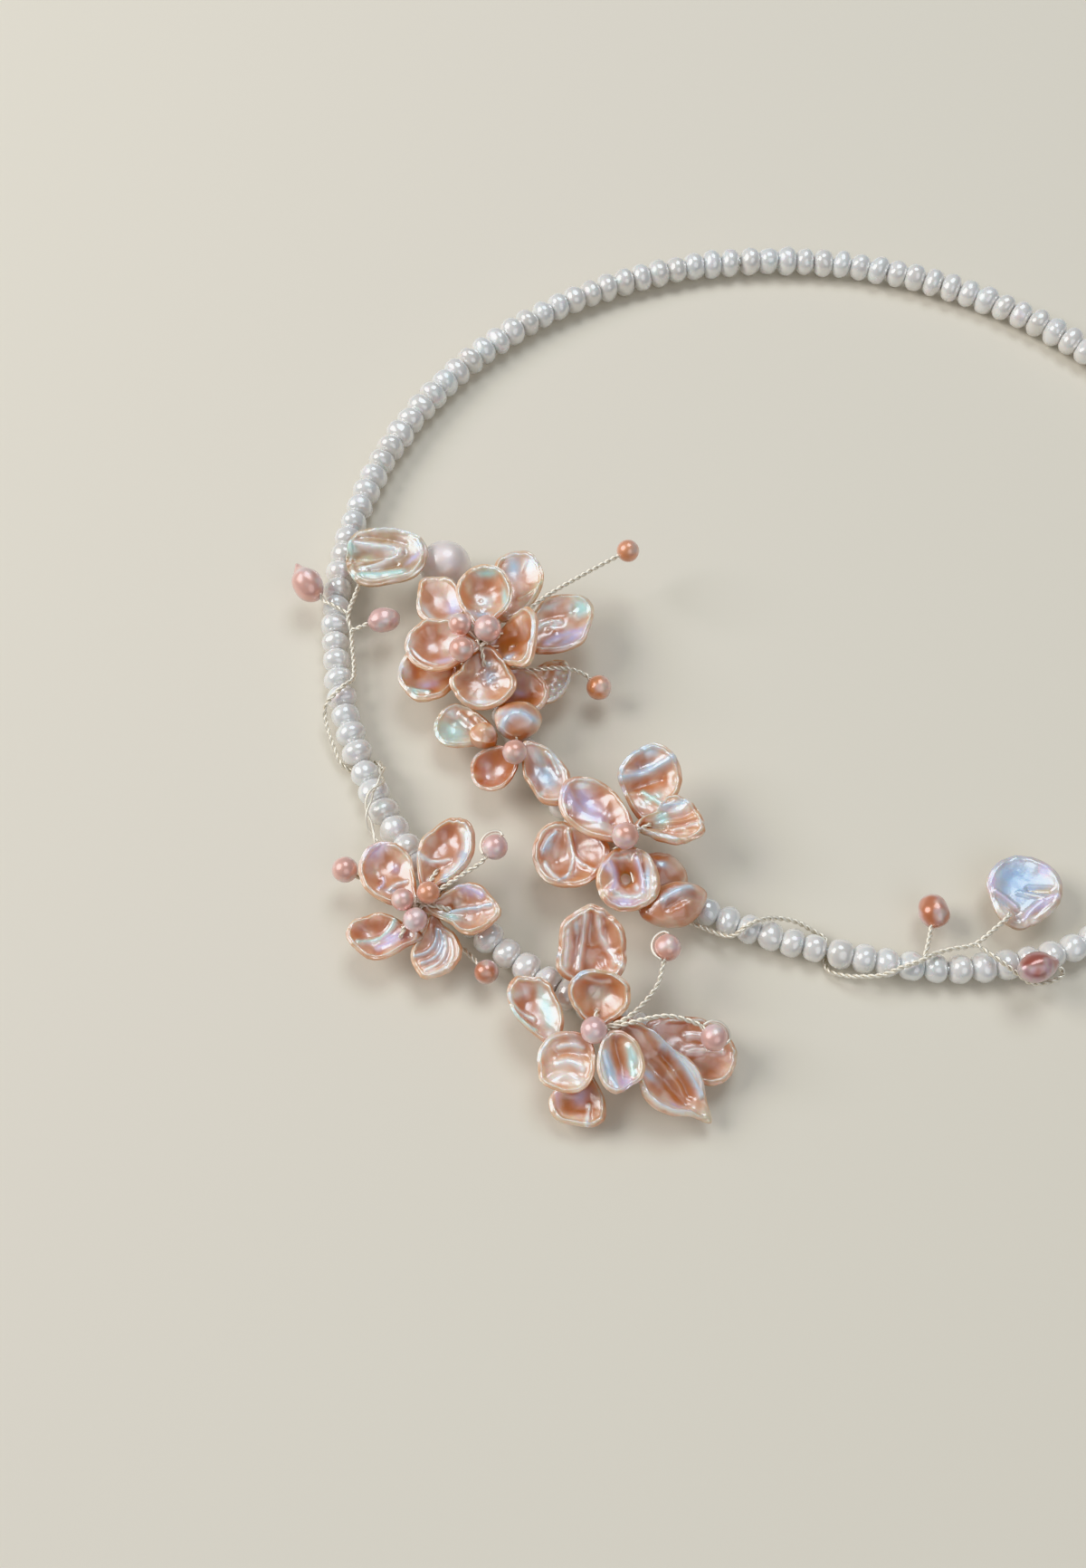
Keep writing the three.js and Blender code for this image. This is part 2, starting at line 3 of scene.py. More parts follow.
import math
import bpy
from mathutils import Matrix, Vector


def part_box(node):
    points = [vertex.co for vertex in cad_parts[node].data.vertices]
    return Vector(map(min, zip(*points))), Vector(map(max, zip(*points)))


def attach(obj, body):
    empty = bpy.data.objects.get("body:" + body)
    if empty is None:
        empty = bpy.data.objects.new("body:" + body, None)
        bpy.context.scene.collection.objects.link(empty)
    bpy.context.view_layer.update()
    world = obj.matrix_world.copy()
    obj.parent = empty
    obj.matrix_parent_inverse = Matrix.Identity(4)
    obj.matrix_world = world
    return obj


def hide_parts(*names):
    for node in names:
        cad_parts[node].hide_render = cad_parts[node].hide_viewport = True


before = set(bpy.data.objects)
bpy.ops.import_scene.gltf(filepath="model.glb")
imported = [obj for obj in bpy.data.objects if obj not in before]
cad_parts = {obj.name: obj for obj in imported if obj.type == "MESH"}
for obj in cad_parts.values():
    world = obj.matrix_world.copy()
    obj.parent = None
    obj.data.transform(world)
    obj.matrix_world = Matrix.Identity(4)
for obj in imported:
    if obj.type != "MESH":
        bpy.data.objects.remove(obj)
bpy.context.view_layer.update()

from types import SimpleNamespace

import bpy
import numpy as np
from bpy.props import FloatProperty, FloatVectorProperty, IntProperty, PointerProperty
from mathutils import Matrix, Quaternion, Vector, noise

bl_info = {
    "name": "Pearl Choker",
    "version": (1, 0, 0),
    "blender": (4, 5, 0),
    "location": "View3D > Sidebar > Choker",
    "description": "Builds the pearls, petals, wires and stage of a pearl choker round its packed frame",
    "category": "Object",
}

MM = 0.001
BODY = "root"
UP = Vector((0, 0, 1))

# ---- The ring ----
# Bearings are degrees anticlockwise from +X about the ring's middle, and fall along the strand. Lengths are in mm.
ROUTE = np.array([
    # bearing, radius, pearl's width
    (254, 66.0, 4.1), (220, 66.0, 4.2), (180, 66.0, 4.3), (90, 66.0, 4.5), (30, 66.0, 4.4), (0, 65.0, 4.3),
    (-30, 62.0, 4.1), (-60, 58.0, 3.9), (-75, 55.1, 3.9), (-90, 51.4, 3.9), (-104, 49.3, 3.9),
    (-125, 47.3, 3.9), (-140, 46.2, 4.0), (-156, 45.7, 4.0), (-170, 47.2, 4.0), (-187, 51.4, 4.0),
])
BEARING, RADIUS, PEARL = 0, 1, 2
# Where the row of pearls breaks off: the bearing, and how many mm of bare wire lie round it.
STOPS = [
    (248.0, 0.0), (243.3, 1.0), (221.2, 1.0), (202, 0.3), (95, 0.3), (-10, 0.3),
    (-92.4, 0.3), (-125.3, 1.0), (-148.1, 1.0), (-167, 1.0), (-186.3, 0.0),
]
END_PEARL_RADIUS = 3.65
END_RISE = 1.7          # of the inner end, to the middle of its pearl
END_RISE_FROM = -160
STRAND_NODES = [
    "strand_outer_tip", "strand_between_outer_flowers", "strand_under_left_vine", "strand_left",
    "strand_back", "strand_right", "strand_front", "strand_between_inner_flowers",
    "strand_to_top_flower", "strand_inner_tip",
]


def between(column, bearing):
    """A smooth value between the rows of the route, by cubic pieces whose slopes are their neighbours'."""
    rows = ROUTE
    last = len(rows) - 1
    i = min(max(int(np.argmax(rows[:, BEARING] <= bearing)) - 1, 0), last - 1)

    def slope(k):
        before, after = rows[max(k - 1, 0)], rows[min(k + 1, last)]
        return (after[column] - before[column]) / (after[BEARING] - before[BEARING])

    step = rows[i + 1, BEARING] - rows[i, BEARING]
    t = (bearing - rows[i, BEARING]) / step
    rise = t * t * (3 - 2 * t)
    return ((1 - rise) * rows[i, column] + rise * rows[i + 1, column]
            + step * t * (1 - t) * ((1 - t) * slope(i) - t * slope(i + 1)))


def ring_centre():
    """The ring's middle, from how far the strand reaches to the left and to the back."""
    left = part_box("strand_left")[0].x + (between(RADIUS, 180) + between(PEARL, 180) / 2) * MM
    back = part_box("strand_back")[1].y - (between(RADIUS, 90) + between(PEARL, 90) / 2) * MM
    return Vector((left, back, 0))


RING_CENTRE = ring_centre()


def direction(bearing, pitch=0.0):
    """A unit vector towards a bearing, at pitch degrees above the level."""
    b, p = math.radians(bearing), math.radians(pitch)
    return Vector((math.cos(b) * math.cos(p), math.sin(b) * math.cos(p), math.sin(p)))


def beside(bearing, out, height):
    """A point beside the strand: out from its middle, and height above the floor, in mm."""
    reach = direction(bearing) * (between(RADIUS, bearing) + out)
    return RING_CENTRE + Vector((reach.x, reach.y, height)) * MM


def smoothstep(x, low, high):
    t = np.clip((x - low) / (high - low), 0, 1)
    return t * t * (3 - 2 * t)


def strand_point(bearing):
    """The middle of the strand. The inner end climbs to the middle of its large pearl."""
    rise = END_RISE * float(smoothstep(-bearing, -END_RISE_FROM, -STOPS[-1][0]))
    return beside(bearing, 0, between(PEARL, bearing) / 2 + rise)


# ---- Petals ----
# Each form is a flat ball drawn out along its length, as in the frame. taper narrows the root, point draws
# out the tip, cup lifts the rim, curl lifts the tip, and fold creases it. thick is in mm.
FORMS = {
    "oval": dict(taper=0.35, point=0.0, cup=1.1, curl=0.0, fold=0.0, thick=1.5),
    "round": dict(taper=0.15, point=0.0, cup=1.5, curl=0.0, fold=0.0, thick=1.6),
    "pointed": dict(taper=0.4, point=0.5, cup=0.9, curl=-0.4, fold=0.3, thick=1.5),
    "leaf": dict(taper=0.3, point=0.8, cup=0.5, curl=-1.2, fold=0.8, thick=1.5),
    "fan": dict(taper=0.6, point=-0.2, cup=0.5, curl=0.4, fold=0.3, thick=1.5),
    "scroll": dict(taper=0.1, point=0.0, cup=0.8, curl=0.8, fold=0.9, thick=1.7),
    "bowl": dict(taper=0.2, point=0.0, cup=2.2, curl=0.0, fold=0.0, thick=1.5),
    "leaf_blade": dict(taper=0.1, point=0.0, cup=0.3, curl=0.4, fold=0.8, thick=1.4),
    "dome": dict(taper=0.2, point=0.0, cup=-1.4, curl=-0.6, fold=0.0, thick=1.8),
}
POINT_NARROWS = 0.55    # of its width that a tip with point 1 loses
PLATE_POWER = 0.55      # below 1 the edge is fuller than a ball's

# How a petal's dish is shaped. LIP_AT, LIP_STRAY, LIP_WIDTH and DISH_FROM are shares of the way from the dish's
# middle to its edge, and DISH_DEPTH is a share of the lip's height. WAVE and FINE are the sizes of the rim's
# waves, on a circle of radius 1. The other sizes are in mm.
LIP_AT, LIP_STRAY, LIP_WIDTH = 0.87, 0.025, 0.048
DISH_FROM, DISH_DEPTH = 0.3, 0.8
WAVE, FINE = 0.7, 0.22
BROAD, CREASE, SMALL = 2.8, 2.0, 0.9
CREASE_PULL = 1.1
RIM_RUFFLE = 0.3
RIDGE_STRAY = 0.12
# RIDGE_LIGHT is how strong the highlight painted along a ridge is; GLEAM_FALL and GLEAM_STRAY set how a painted
# gleam fades and frays at its edge.
RIDGE_LIGHT = 0.85
GLEAM_FALL, GLEAM_STRAY = 1.1, 0.25

# Tints of the highlights and reflections that the ridges and gleams paint into the nacre's colour.
ICE = (0.62, 0.82, 1.0)
SKY = (0.50, 0.72, 1.0)
MINT = (0.60, 0.94, 0.92)
LILAC = (0.78, 0.71, 1.0)
SILVER = (0.95, 0.96, 0.98)
ROSE = (1.0, 0.86, 0.82)
GOLD = (0.86, 0.74, 0.52)


def petal(name, form, heading, pitch, length, width, **look):
    """A row of the petal table. look holds what sets the petal apart from its form."""
    row = dict(name=name, form=form, heading=heading, pitch=pitch, length=length, width=width, seed=1,
               outline=(1,) * 12, lip=0.42, wrinkle=0.2, ruffle=0.02, ribs=0.0, rib_count=5, tone=0.5,
               dents=(), ridges=(), gleams=(), shift=(0, 0), ease=0.3)
    return {**row, **look}


# heading is the bearing that a petal points in and pitch its tilt, in degrees. length and width are in mm.
# outline is how far the edge stands from the form's own, at each 30 degrees from the tip round by the left.
# lip is the height of the rim, wrinkle and ruffle how rough the dish and the edge are, ribs and rib_count the
# height and number of its ribs, and tone how deep its colour is, from 0 to 1. shift moves the petal, in mm, and
# ease rounds its fold.
# A dent is along (0 root, 1 tip), across (-1 right, 1 left), radius in mm, height in mm (below 0 sinks).
# A ridge is along and across of its two ends, its bend in mm to the left, half width and height in mm, and
# the tint of the highlight painted along it, or None.
# A gleam is a painted highlight or reflection: along, across, half length in mm, half width in mm, turn in degrees,
# tint, strength.
PETALS = [
    petal("petal_a1", "oval", 127, 8, 8.9, 7.0, seed=11, wrinkle=0.12, tone=0.45,
          outline=(0.9, 0.92, 1, 1.12, 1.18, 1.18, 1.4, 1.12, 1, 1.06, 1, 0.97),
          dents=[(0.6, 0.3, 1.6, -0.35), (0.5, -0.27, 0.6, 0.28), (0.45, 0.42, 0.32, -0.4), (0.3, 0.0, 0.7, 0.3)],
          ridges=[(0.5, 0.25, 0.38, 0.6, 0.3, 0.22, 0.28, LILAC), (0.28, 0.35, 0.24, -0.3, 0.2, 0.3, 0.25, SILVER)],
          gleams=[(0.86, -0.1, 2.0, 0.75, 90, LILAC, 0.9), (0.5, -0.27, 0.7, 0.6, 20, LILAC, 0.6),
                  (0.25, 0.25, 0.9, 0.4, 60, ICE, 0.8)]),
    petal("petal_a2", "pointed", 64, 12, 10.0, 7.9, seed=12, wrinkle=0.12, tone=0.6,
          outline=(1, 0.99, 0.9, 0.97, 0.96, 1, 1.1, 0.9, 0.94, 0.95, 1, 1.08),
          dents=[(0.72, 0.2, 1.6, -0.5), (0.39, 0.56, 0.42, 0.35), (0.29, 0.47, 0.4, 0.3), (0.28, 0, 0.4, -0.5)],
          ridges=[(0.84, -0.37, 0.3, -0.41, 0.8, 0.7, 0.42, SILVER),
                  (0.36, 0.72, 0.47, -0.2, -0.5, 0.35, 0.38, SILVER)],
          gleams=[(0.56, -0.58, 2.4, 0.8, 8, ICE, 0.9), (0.24, -0.4, 1.2, 0.6, 20, ICE, 0.9)]),
    petal("petal_a3", "pointed", -5, 8, 8.2, 7.3, seed=13, tone=0.45, lip=0.5,
          outline=(1.02, 0.93, 0.95, 1.05, 1.05, 1.12, 1.4, 1.05, 0.87, 1.02, 1, 0.98),
          dents=[(0.55, -0.45, 1.2, -0.35), (0.22, 0.1, 0.38, -0.5)],
          ridges=[(0.25, -0.06, 0.83, 0.18, 0.1, 0.32, 0.38, ICE), (0.28, 0.78, 0.7, 0.5, 0.2, 0.4, 0.3, LILAC)],
          gleams=[(0.27, -0.3, 1.3, 0.7, -12, MINT, 0.95), (0.5, 0.62, 1.6, 0.5, -14, LILAC, 0.7),
                  (0.6, 0.1, 1.4, 0.4, 8, ICE, 0.8)]),
    petal("petal_a4", "fan", -84, -8, 7.6, 7.4, seed=14, tone=0.4, lip=0.3, wrinkle=0.12,
          outline=(0.8, 0.76, 0.8, 1, 1.15, 1.12, 1.45, 1.1, 1.02, 1, 0.88, 0.92),
          ridges=[(0.12, 0.08, 0.53, -0.68, 0.9, 0.27, 0.42, ICE), (0.15, 0.19, 0.65, -0.48, 1.2, 0.27, 0.45, ICE),
                  (0.22, 0.32, 0.76, -0.35, 1.1, 0.28, 0.45, SILVER), (0.3, 0.5, 0.86, -0.2, 1.3, 0.3, 0.35, ROSE)],
          gleams=[(0.45, 0.15, 2.2, 0.8, 15, ICE, 0.7)]),
    petal("petal_a5", "oval", 178, 0, 7.8, 7.2, seed=15, tone=0.7,
          outline=(0.97, 0.85, 0.84, 0.97, 1.03, 1.1, 1.45, 1.15, 1, 0.92, 0.8, 0.95),
          dents=[(0.7, -0.2, 1.2, -0.4), (0.42, 0.6, 1.2, -0.35), (0.12, -0.45, 0.35, -0.4)],
          ridges=[(0.23, -0.56, 0.77, 0.24, 0.7, 0.35, 0.42, MINT), (0.2, 0.1, 0.45, 0.35, 0.1, 0.5, 0.25, LILAC)],
          gleams=[(0.27, 0.05, 1.5, 0.85, 8, LILAC, 1.0), (0.62, 0.22, 1.6, 0.35, 6, SILVER, 0.8)]),
    petal("petal_b1", "scroll", 89, 22, 10.2, 8.8, seed=21, tone=0.7, lip=0.5, wrinkle=0.25,
          outline=(1, 0.94, 0.98, 0.92, 1.12, 1, 1.2, 1, 1.1, 0.98, 0.96, 0.93),
          dents=[(0.4, 0.94, 0.6, 0.4), (0.3, -0.6, 0.6, 0.4)],
          ridges=[(0.86, 0.16, 0.23, 0.34, 0, 0.4, 0.45, ROSE), (0.89, -0.2, 0.26, -0.9, -1.0, 0.45, 0.45, ROSE),
                  (0.8, -0.34, 0.3, -0.41, 0, 0.8, -0.45, None), (0.75, 0.65, 0.25, 0.7, 0.2, 0.45, 0.35, ROSE)],
          gleams=[(0.72, 0.42, 1.2, 0.3, 5, SILVER, 1.0), (0.3, -0.6, 0.6, 0.3, 0, SILVER, 0.6),
                  (0.4, 0.94, 0.4, 0.4, 0, ICE, 0.9)]),
    petal("petal_b2", "bowl", 84, 30, 6.2, 7.6, seed=22, tone=0.5, lip=0.55, wrinkle=0.1,
          outline=(0.9, 0.96, 0.98, 1, 1.05, 1.12, 1.3, 1.18, 1.15, 1.05, 1, 0.93),
          dents=[(0.12, 0.1, 0.35, -0.4)],
          ridges=[(0.75, 0.45, 0.7, -0.3, -0.3, 0.3, 0.3, ROSE)],
          gleams=[(0.82, 0.62, 1.2, 0.6, -40, ICE, 0.95), (0.4, 0.1, 1.0, 1.2, 0, GOLD, 0.7)]),
    petal("petal_b3", "oval", 120, 5, 8.6, 6.8, seed=23, tone=0.6, lip=0.5, wrinkle=0.12,
          outline=(1.05, 0.97, 0.8, 0.74, 0.77, 0.95, 1.1, 1.15, 1.15, 1, 1.08, 1),
          dents=[(0.68, -0.1, 1.5, -0.4)],
          ridges=[(0.85, 0.5, 0.4, 0.15, -0.5, 0.3, 0.4, SILVER), (0.7, 0.7, 0.25, 0.35, -0.2, 0.3, 0.35, MINT)],
          gleams=[(0.42, -0.42, 3.0, 0.75, -14, MINT, 1.0), (0.8, 0.2, 0.5, 1.6, 0, SILVER, 0.7),
                  (0.5, 0.75, 1.8, 0.35, 5, SILVER, 0.8)]),
    petal("petal_b4", "bowl", -120, -11, 7.2, 7.0, seed=24, tone=0.6, lip=0.3, wrinkle=0.1,
          outline=(0.9, 0.92, 1, 1.04, 1.03, 1.12, 1.12, 1.12, 1.2, 1.1, 0.95, 1),
          dents=[(0.5, 0.0, 2.2, 1.5)],
          ridges=[(0.33, -0.51, 0.15, 0.17, 0.3, 0.3, 0.25, SILVER),
                  (0.41, -0.42, 0.19, 0.61, 0.3, 0.45, -0.3, None),
                  (0.55, -0.27, 0.44, 0.5, 0.5, 0.5, 0.25, SILVER), (0.82, -0.16, 0.62, 0.69, 0.4, 0.5, 0.2, ROSE)],
          gleams=[(0.15, -0.1, 1.3, 0.7, 60, SILVER, 0.7), (0.5, -0.9, 1.8, 0.35, 0, SILVER, 0.9)]),
    petal("petal_b5", "fan", -100, -6, 6.7, 7.6, seed=25, tone=0.5, lip=0.5, wrinkle=0.12,
          outline=(0.9, 0.98, 1, 0.95, 1, 1.1, 1.2, 1.15, 1, 1.1, 1.03, 1),
          ridges=[(0.55, 0.3, 0.95, 0.35, 0, 0.25, 0.35, SILVER)],
          gleams=[(0.45, 0.0, 1.0, 0.9, 20, LILAC, 0.7), (0.55, -0.7, 1.0, 0.5, 10, LILAC, 0.6)]),
    petal("petal_b6", "oval", -80, -8, 7.2, 5.8, seed=26, tone=0.35, lip=0.3, wrinkle=0.16,
          outline=(0.8, 0.76, 1, 1.15, 1.3, 1.25, 1.15, 1.15, 1.05, 0.97, 0.92, 0.92),
          ridges=[(0.1, 0.05, 0.75, 0.15, 0, 0.5, -0.55, None), (0.25, -0.4, 0.8, -0.25, 0, 0.55, 0.4, ICE),
                  (0.25, 0.55, 0.65, 0.5, 0, 0.5, 0.4, MINT), (0.2, -0.7, 0.7, -0.6, 0, 0.2, 0.2, SILVER)],
          gleams=[(0.5, -0.45, 2.3, 0.7, 5, ICE, 1.0), (0.38, 0.6, 1.4, 0.6, 8, MINT, 1.0),
                  (0.75, 0.1, 1.2, 1.2, 0, LILAC, 0.9)]),
    petal("petal_b7", "leaf", -46, -9, 14.0, 9.0, seed=27, tone=0.5, lip=0.5, wrinkle=0.16,
          outline=(1.06, 0.88, 0.78, 0.72, 0.72, 1.08, 1.3, 1.12, 0.86, 1, 0.95, 0.86),
          dents=[(0.35, -0.35, 1.3, -0.4), (0.28, 0.35, 0.5, 0.4)],
          ridges=[(0.15, 0.4, 0.8, 0.26, 0.5, 0.4, 0.55, ICE), (0.35, 0.25, 0.74, 0.05, 0.2, 0.4, -0.5, None),
                  (0.32, -0.17, 0.76, -0.2, 0.1, 0.55, -0.5, None), (0.4, -0.8, 0.84, -0.28, -0.6, 0.42, 0.5, ROSE),
                  (0.55, -0.8, 0.8, -0.45, -0.3, 0.25, 0.3, SILVER)],
          gleams=[(0.3, 0.38, 0.9, 0.5, 0, ICE, 0.95), (0.36, -0.4, 1.5, 0.6, 10, ICE, 0.95),
                  (0.72, -0.45, 1.3, 0.3, 25, LILAC, 0.8), (0.55, 0.5, 4.4, 0.5, -3, SILVER, 1.0),
                  (0.95, 0.0, 0.9, 0.7, 0, GOLD, 1.0)]),
    petal("petal_b8", "oval", -25, -3, 7.4, 7.0, seed=28, tone=0.65, lip=0.35,
          outline=(1, 1, 1, 1.15, 1.45, 1.75, 2.15, 1.7, 1.2, 1.1, 1.1, 1.05),
          ridges=[(0.1, 0.3, 0.5, 0.6, 0.2, 0.35, 0.35, ROSE), (0.2, -0.2, 0.7, 0.3, 0.3, 0.4, 0.35, ROSE)]),
    petal("petal_c1", "oval", 140, 5, 10.1, 7.2, seed=31, tone=0.55, lip=0.4, wrinkle=0.18,
          outline=(0.98, 1, 1.12, 1.2, 1.25, 1.25, 1.2, 1.15, 1.05, 1, 0.92, 0.95),
          dents=[(0.62, -0.45, 1.2, -0.4), (0.74, 0.64, 0.6, 0.4), (0.21, 0.0, 0.35, -0.5)],
          ridges=[(0.9, 0.3, 0.37, 0.23, -0.5, 0.9, 0.35, LILAC), (0.8, 0.45, 0.66, 0.85, 0, 0.3, -0.35, None)],
          gleams=[(0.58, 0.05, 2.8, 1.3, -12, LILAC, 1.0), (0.8, -0.35, 1.5, 0.6, 60, SILVER, 0.9),
                  (0.74, 0.64, 0.6, 0.4, 30, SILVER, 0.9), (0.3, 0.3, 0.8, 0.6, 0, SILVER, 0.8),
                  (0.45, 0.5, 2.4, 0.35, 4, SILVER, 0.8)]),
    petal("petal_c2", "round", -176, -2, 8.0, 9.6, seed=32, tone=0.6, lip=0.38, wrinkle=0.12,
          outline=(1, 0.97, 0.92, 0.93, 1.08, 1.28, 1.45, 1.3, 1, 1, 1.02, 1.02),
          dents=[(0.62, -0.02, 1.3, -0.8)],
          ridges=[(0.42, -0.62, 0.46, 0.5, 0.55, 0.3, 0.5, SILVER), (0.82, -0.2, 0.6, -0.68, 0.2, 0.35, 0.45, ICE),
                  (0.8, 0.1, 0.6, 0.7, -0.2, 0.3, 0.35, SILVER), (0.4, -0.66, 0.2, 0.3, -0.6, 0.3, 0.42, SILVER),
                  (0.46, 0.5, 0.62, 0.72, 0.1, 0.3, 0.35, ICE), (0.2, 0.3, 0.04, 0.5, 0, 0.28, 0.4, ROSE)],
          gleams=[(0.75, -0.35, 1.2, 0.5, 60, ICE, 0.9), (0.48, 0.55, 1.2, 0.4, 30, SILVER, 0.8)]),
    petal("petal_c3", "scroll", -88, -10, 8.2, 8.0, seed=33, tone=0.45, lip=0.4, wrinkle=0.24,
          outline=(0.94, 0.97, 1.05, 1.03, 1.03, 1.12, 1.12, 1.05, 1, 1, 1, 1),
          dents=[(0.42, -0.02, 1.0, -2.2), (0.12, 0.15, 0.4, -0.4), (0.78, -0.75, 0.7, 0.35),
                 (0.55, 0.85, 0.6, 0.3), (0.9, 0.35, 0.6, 0.3)],
          ridges=[(0.22, -0.5, 0.66, -0.5, 0.7, 0.5, 0.5, LILAC), (0.66, -0.5, 0.72, 0.4, -0.5, 0.5, 0.5, SILVER),
                  (0.15, 0.3, 0.7, 0.45, 0.3, 0.35, 0.5, LILAC), (0.1, 0.68, 0.75, 0.72, 0.2, 0.35, 0.4, ROSE),
                  (0.05, 0.45, 0.45, 0.55, 0, 0.22, -0.6, None), (0.15, -0.4, 0.12, 0.1, 0, 0.4, 0.35, ROSE)],
          gleams=[(0.82, -0.1, 0.6, 1.9, 0, LILAC, 1.0), (0.45, 0.62, 1.9, 0.5, -5, ICE, 0.9),
                  (0.3, -0.6, 1.2, 0.5, 60, LILAC, 0.8), (0.6, 0.3, 0.5, 0.4, 0, SILVER, 0.9)]),
    petal("petal_c4", "oval", 82, 16, 9.4, 9.2, seed=34, tone=0.45, lip=0.3, wrinkle=0.16,
          outline=(1, 0.88, 0.87, 0.95, 0.93, 1.05, 1.2, 1.15, 1.05, 1, 0.95, 0.97),
          dents=[(0.68, 0.29, 0.8, -0.65)],
          ridges=[(0.45, 0.77, 0.83, -0.6, -0.3, 0.6, 0.6, ICE), (0.35, 0.5, 0.53, -0.35, 0, 0.6, -0.65, None),
                  (0.31, 0.11, 0.17, -0.43, 0, 0.4, 0.5, MINT), (0.85, 0.35, 0.68, 0.75, -0.2, 0.4, 0.3, ICE)],
          gleams=[(0.64, 0.1, 3.4, 0.7, -60, ICE, 0.95), (0.24, -0.16, 1.5, 0.5, -58, MINT, 1.0),
                  (0.9, 0.1, 0.9, 1.4, 0, ICE, 0.9), (0.6, 0.8, 1.3, 0.6, 10, ICE, 0.8),
                  (0.3, 0.7, 0.7, 0.6, 0, LILAC, 0.7)]),
    petal("petal_c5", "fan", 6, 4, 8.2, 7.4, seed=35, ruffle=0.06, tone=0.4, lip=0.4, wrinkle=0.14, ribs=0.18,
          rib_count=9,
          outline=(0.9, 0.87, 0.93, 1.05, 0.84, 1, 1.2, 1.1, 1.05, 1, 0.95, 1),
          dents=[(0.98, 0.1, 0.4, 0.3), (0.93, 0.5, 0.4, 0.3), (0.8, 0.75, 0.4, 0.3)],
          ridges=[(0.05, 0.0, 0.35, -0.1, 0, 0.4, -0.7, None), (0.1, -0.4, 0.5, -0.75, 0.2, 0.35, 0.4, SILVER),
                  (0.35, 0.5, 0.75, 0.6, 0, 0.5, 0.3, ICE), (0.5, -0.35, 0.95, -0.25, 0.2, 0.3, 0.3, ROSE)],
          gleams=[(0.35, 0.2, 1.2, 1.2, 60, MINT, 0.95), (0.6, 0.45, 1.6, 0.9, 20, SILVER, 0.9)]),
    petal("petal_c6", "dome", -37, 0, 5.2, 5.0, seed=36, tone=0.9, lip=0.2, wrinkle=0.1,
          outline=(1.45, 1.35, 1.2, 1.15, 1.1, 1.1, 1.2, 1.2, 1.2, 1.25, 1.35, 1.45),
          gleams=[(0.5, 0.1, 0.8, 0.5, 30, ICE, 1.0)]),
    petal("petal_c7", "dome", 12, 1, 9.2, 5.8, seed=37, tone=0.85, lip=0.1, wrinkle=0.08,
          outline=(0.8, 0.95, 1, 1.05, 1.1, 1.1, 1.05, 1.05, 1.1, 1.05, 0.85, 0.75),
          ridges=[(0.3, 0.1, 0.7, 0.45, 0.2, 0.6, 0.5, ICE), (0.35, -0.3, 0.75, 0.0, 0.2, 0.5, -0.4, None)],
          gleams=[(0.5, 0.3, 1.9, 0.4, 12, ICE, 0.95)]),
    petal("petal_d1", "oval", 158, -2, 6.8, 7.0, seed=41, tone=0.35, lip=0.35, wrinkle=0.12,
          outline=(1, 1, 1, 1, 1.05, 1.25, 1.6, 1.35, 1.1, 1, 1, 1),
          dents=[(0.95, 0.55, 0.25, 0.25), (1.0, 0.25, 0.25, 0.25), (1.0, -0.05, 0.25, 0.25),
                 (0.96, -0.35, 0.25, 0.25)],
          ridges=[(0.2, -0.2, 0.6, -0.5, 0, 0.4, 0.35, ROSE)],
          gleams=[(0.62, 0.3, 2.8, 2.3, -20, MINT, 1.0), (0.78, -0.4, 1.2, 0.8, 0, SILVER, 0.9)]),
    petal("petal_d2", "dome", 93, 14, 5.4, 7.2, seed=42, tone=0.6, lip=0.1, wrinkle=0.08,
          outline=(1, 0.97, 0.87, 0.8, 0.86, 0.95, 1, 1, 1.05, 1, 1, 1),
          ridges=[(0.22, 0.55, 0.42, -0.62, 1.5, 0.7, 0.4, ICE)],
          gleams=[(0.6, 0.1, 0.8, 1.9, 0, ICE, 1.0)]),
    petal("petal_d3", "bowl", -148, -15, 7.0, 6.6, seed=43, tone=1.0, lip=0.35, wrinkle=0.04, shift=(0.9, 0.4),
          outline=(0.78, 0.8, 0.85, 0.95, 1, 1.1, 1.1, 1.1, 1.05, 0.95, 0.85, 0.78),
          gleams=[(0.62, -0.93, 1.9, 0.4, 10, SILVER, 1.0)]),
    petal("petal_d4", "oval", -58, -8, 7.4, 6.2, seed=44, tone=0.6, lip=0.5, wrinkle=0.1, shift=(-0.3, 0.3),
          outline=(1.5, 1.36, 1.18, 1.05, 1.1, 1.15, 1.15, 0.87, 0.8, 0.82, 0.87, 1.3),
          dents=[(0.4, 0.1, 1.2, -0.3)],
          ridges=[(0.3, 0.6, 0.75, 0.55, 0.2, 0.25, 0.3, SILVER)],
          gleams=[(0.66, 0.15, 1.9, 1.5, 0, ICE, 1.0), (0.5, 0.8, 2.6, 0.4, -4, SILVER, 1.0),
                  (0.35, 0.3, 1.6, 0.7, 0, SILVER, 0.9), (0.9, -0.5, 0.4, 1.0, 20, SILVER, 0.9)]),
    petal("petal_d5", "oval", 148, 2, 3.8, 3.4, seed=45, wrinkle=0.3, tone=0.85, lip=0.0,
          dents=[(0.5, 0.0, 1.5, 2.6)]),
    petal("petal_e1", "bowl", 168, -4, 8.2, 8.0, seed=51, tone=0.55, lip=0.5, wrinkle=0.06,
          outline=(0.98, 1.03, 1.08, 1.18, 1.25, 1.25, 1.45, 1.15, 1.05, 0.95, 0.95, 0.93),
          ridges=[(0.85, 0.35, 0.4, 0.75, -0.3, 0.22, 0.3, SILVER)],
          gleams=[(0.9, 0.2, 0.5, 1.6, 10, SILVER, 0.9), (0.3, 0.5, 1.3, 0.7, 10, LILAC, 0.9),
                  (0.2, -0.2, 0.9, 0.9, 30, SILVER, 0.8)]),
    petal("petal_e2", "bowl", 89, 10, 8.2, 8.0, seed=52, tone=0.45, lip=0.6, wrinkle=0.06,
          outline=(1, 0.97, 0.93, 0.96, 1, 1.08, 1.35, 1.1, 1.1, 1.03, 0.97, 1),
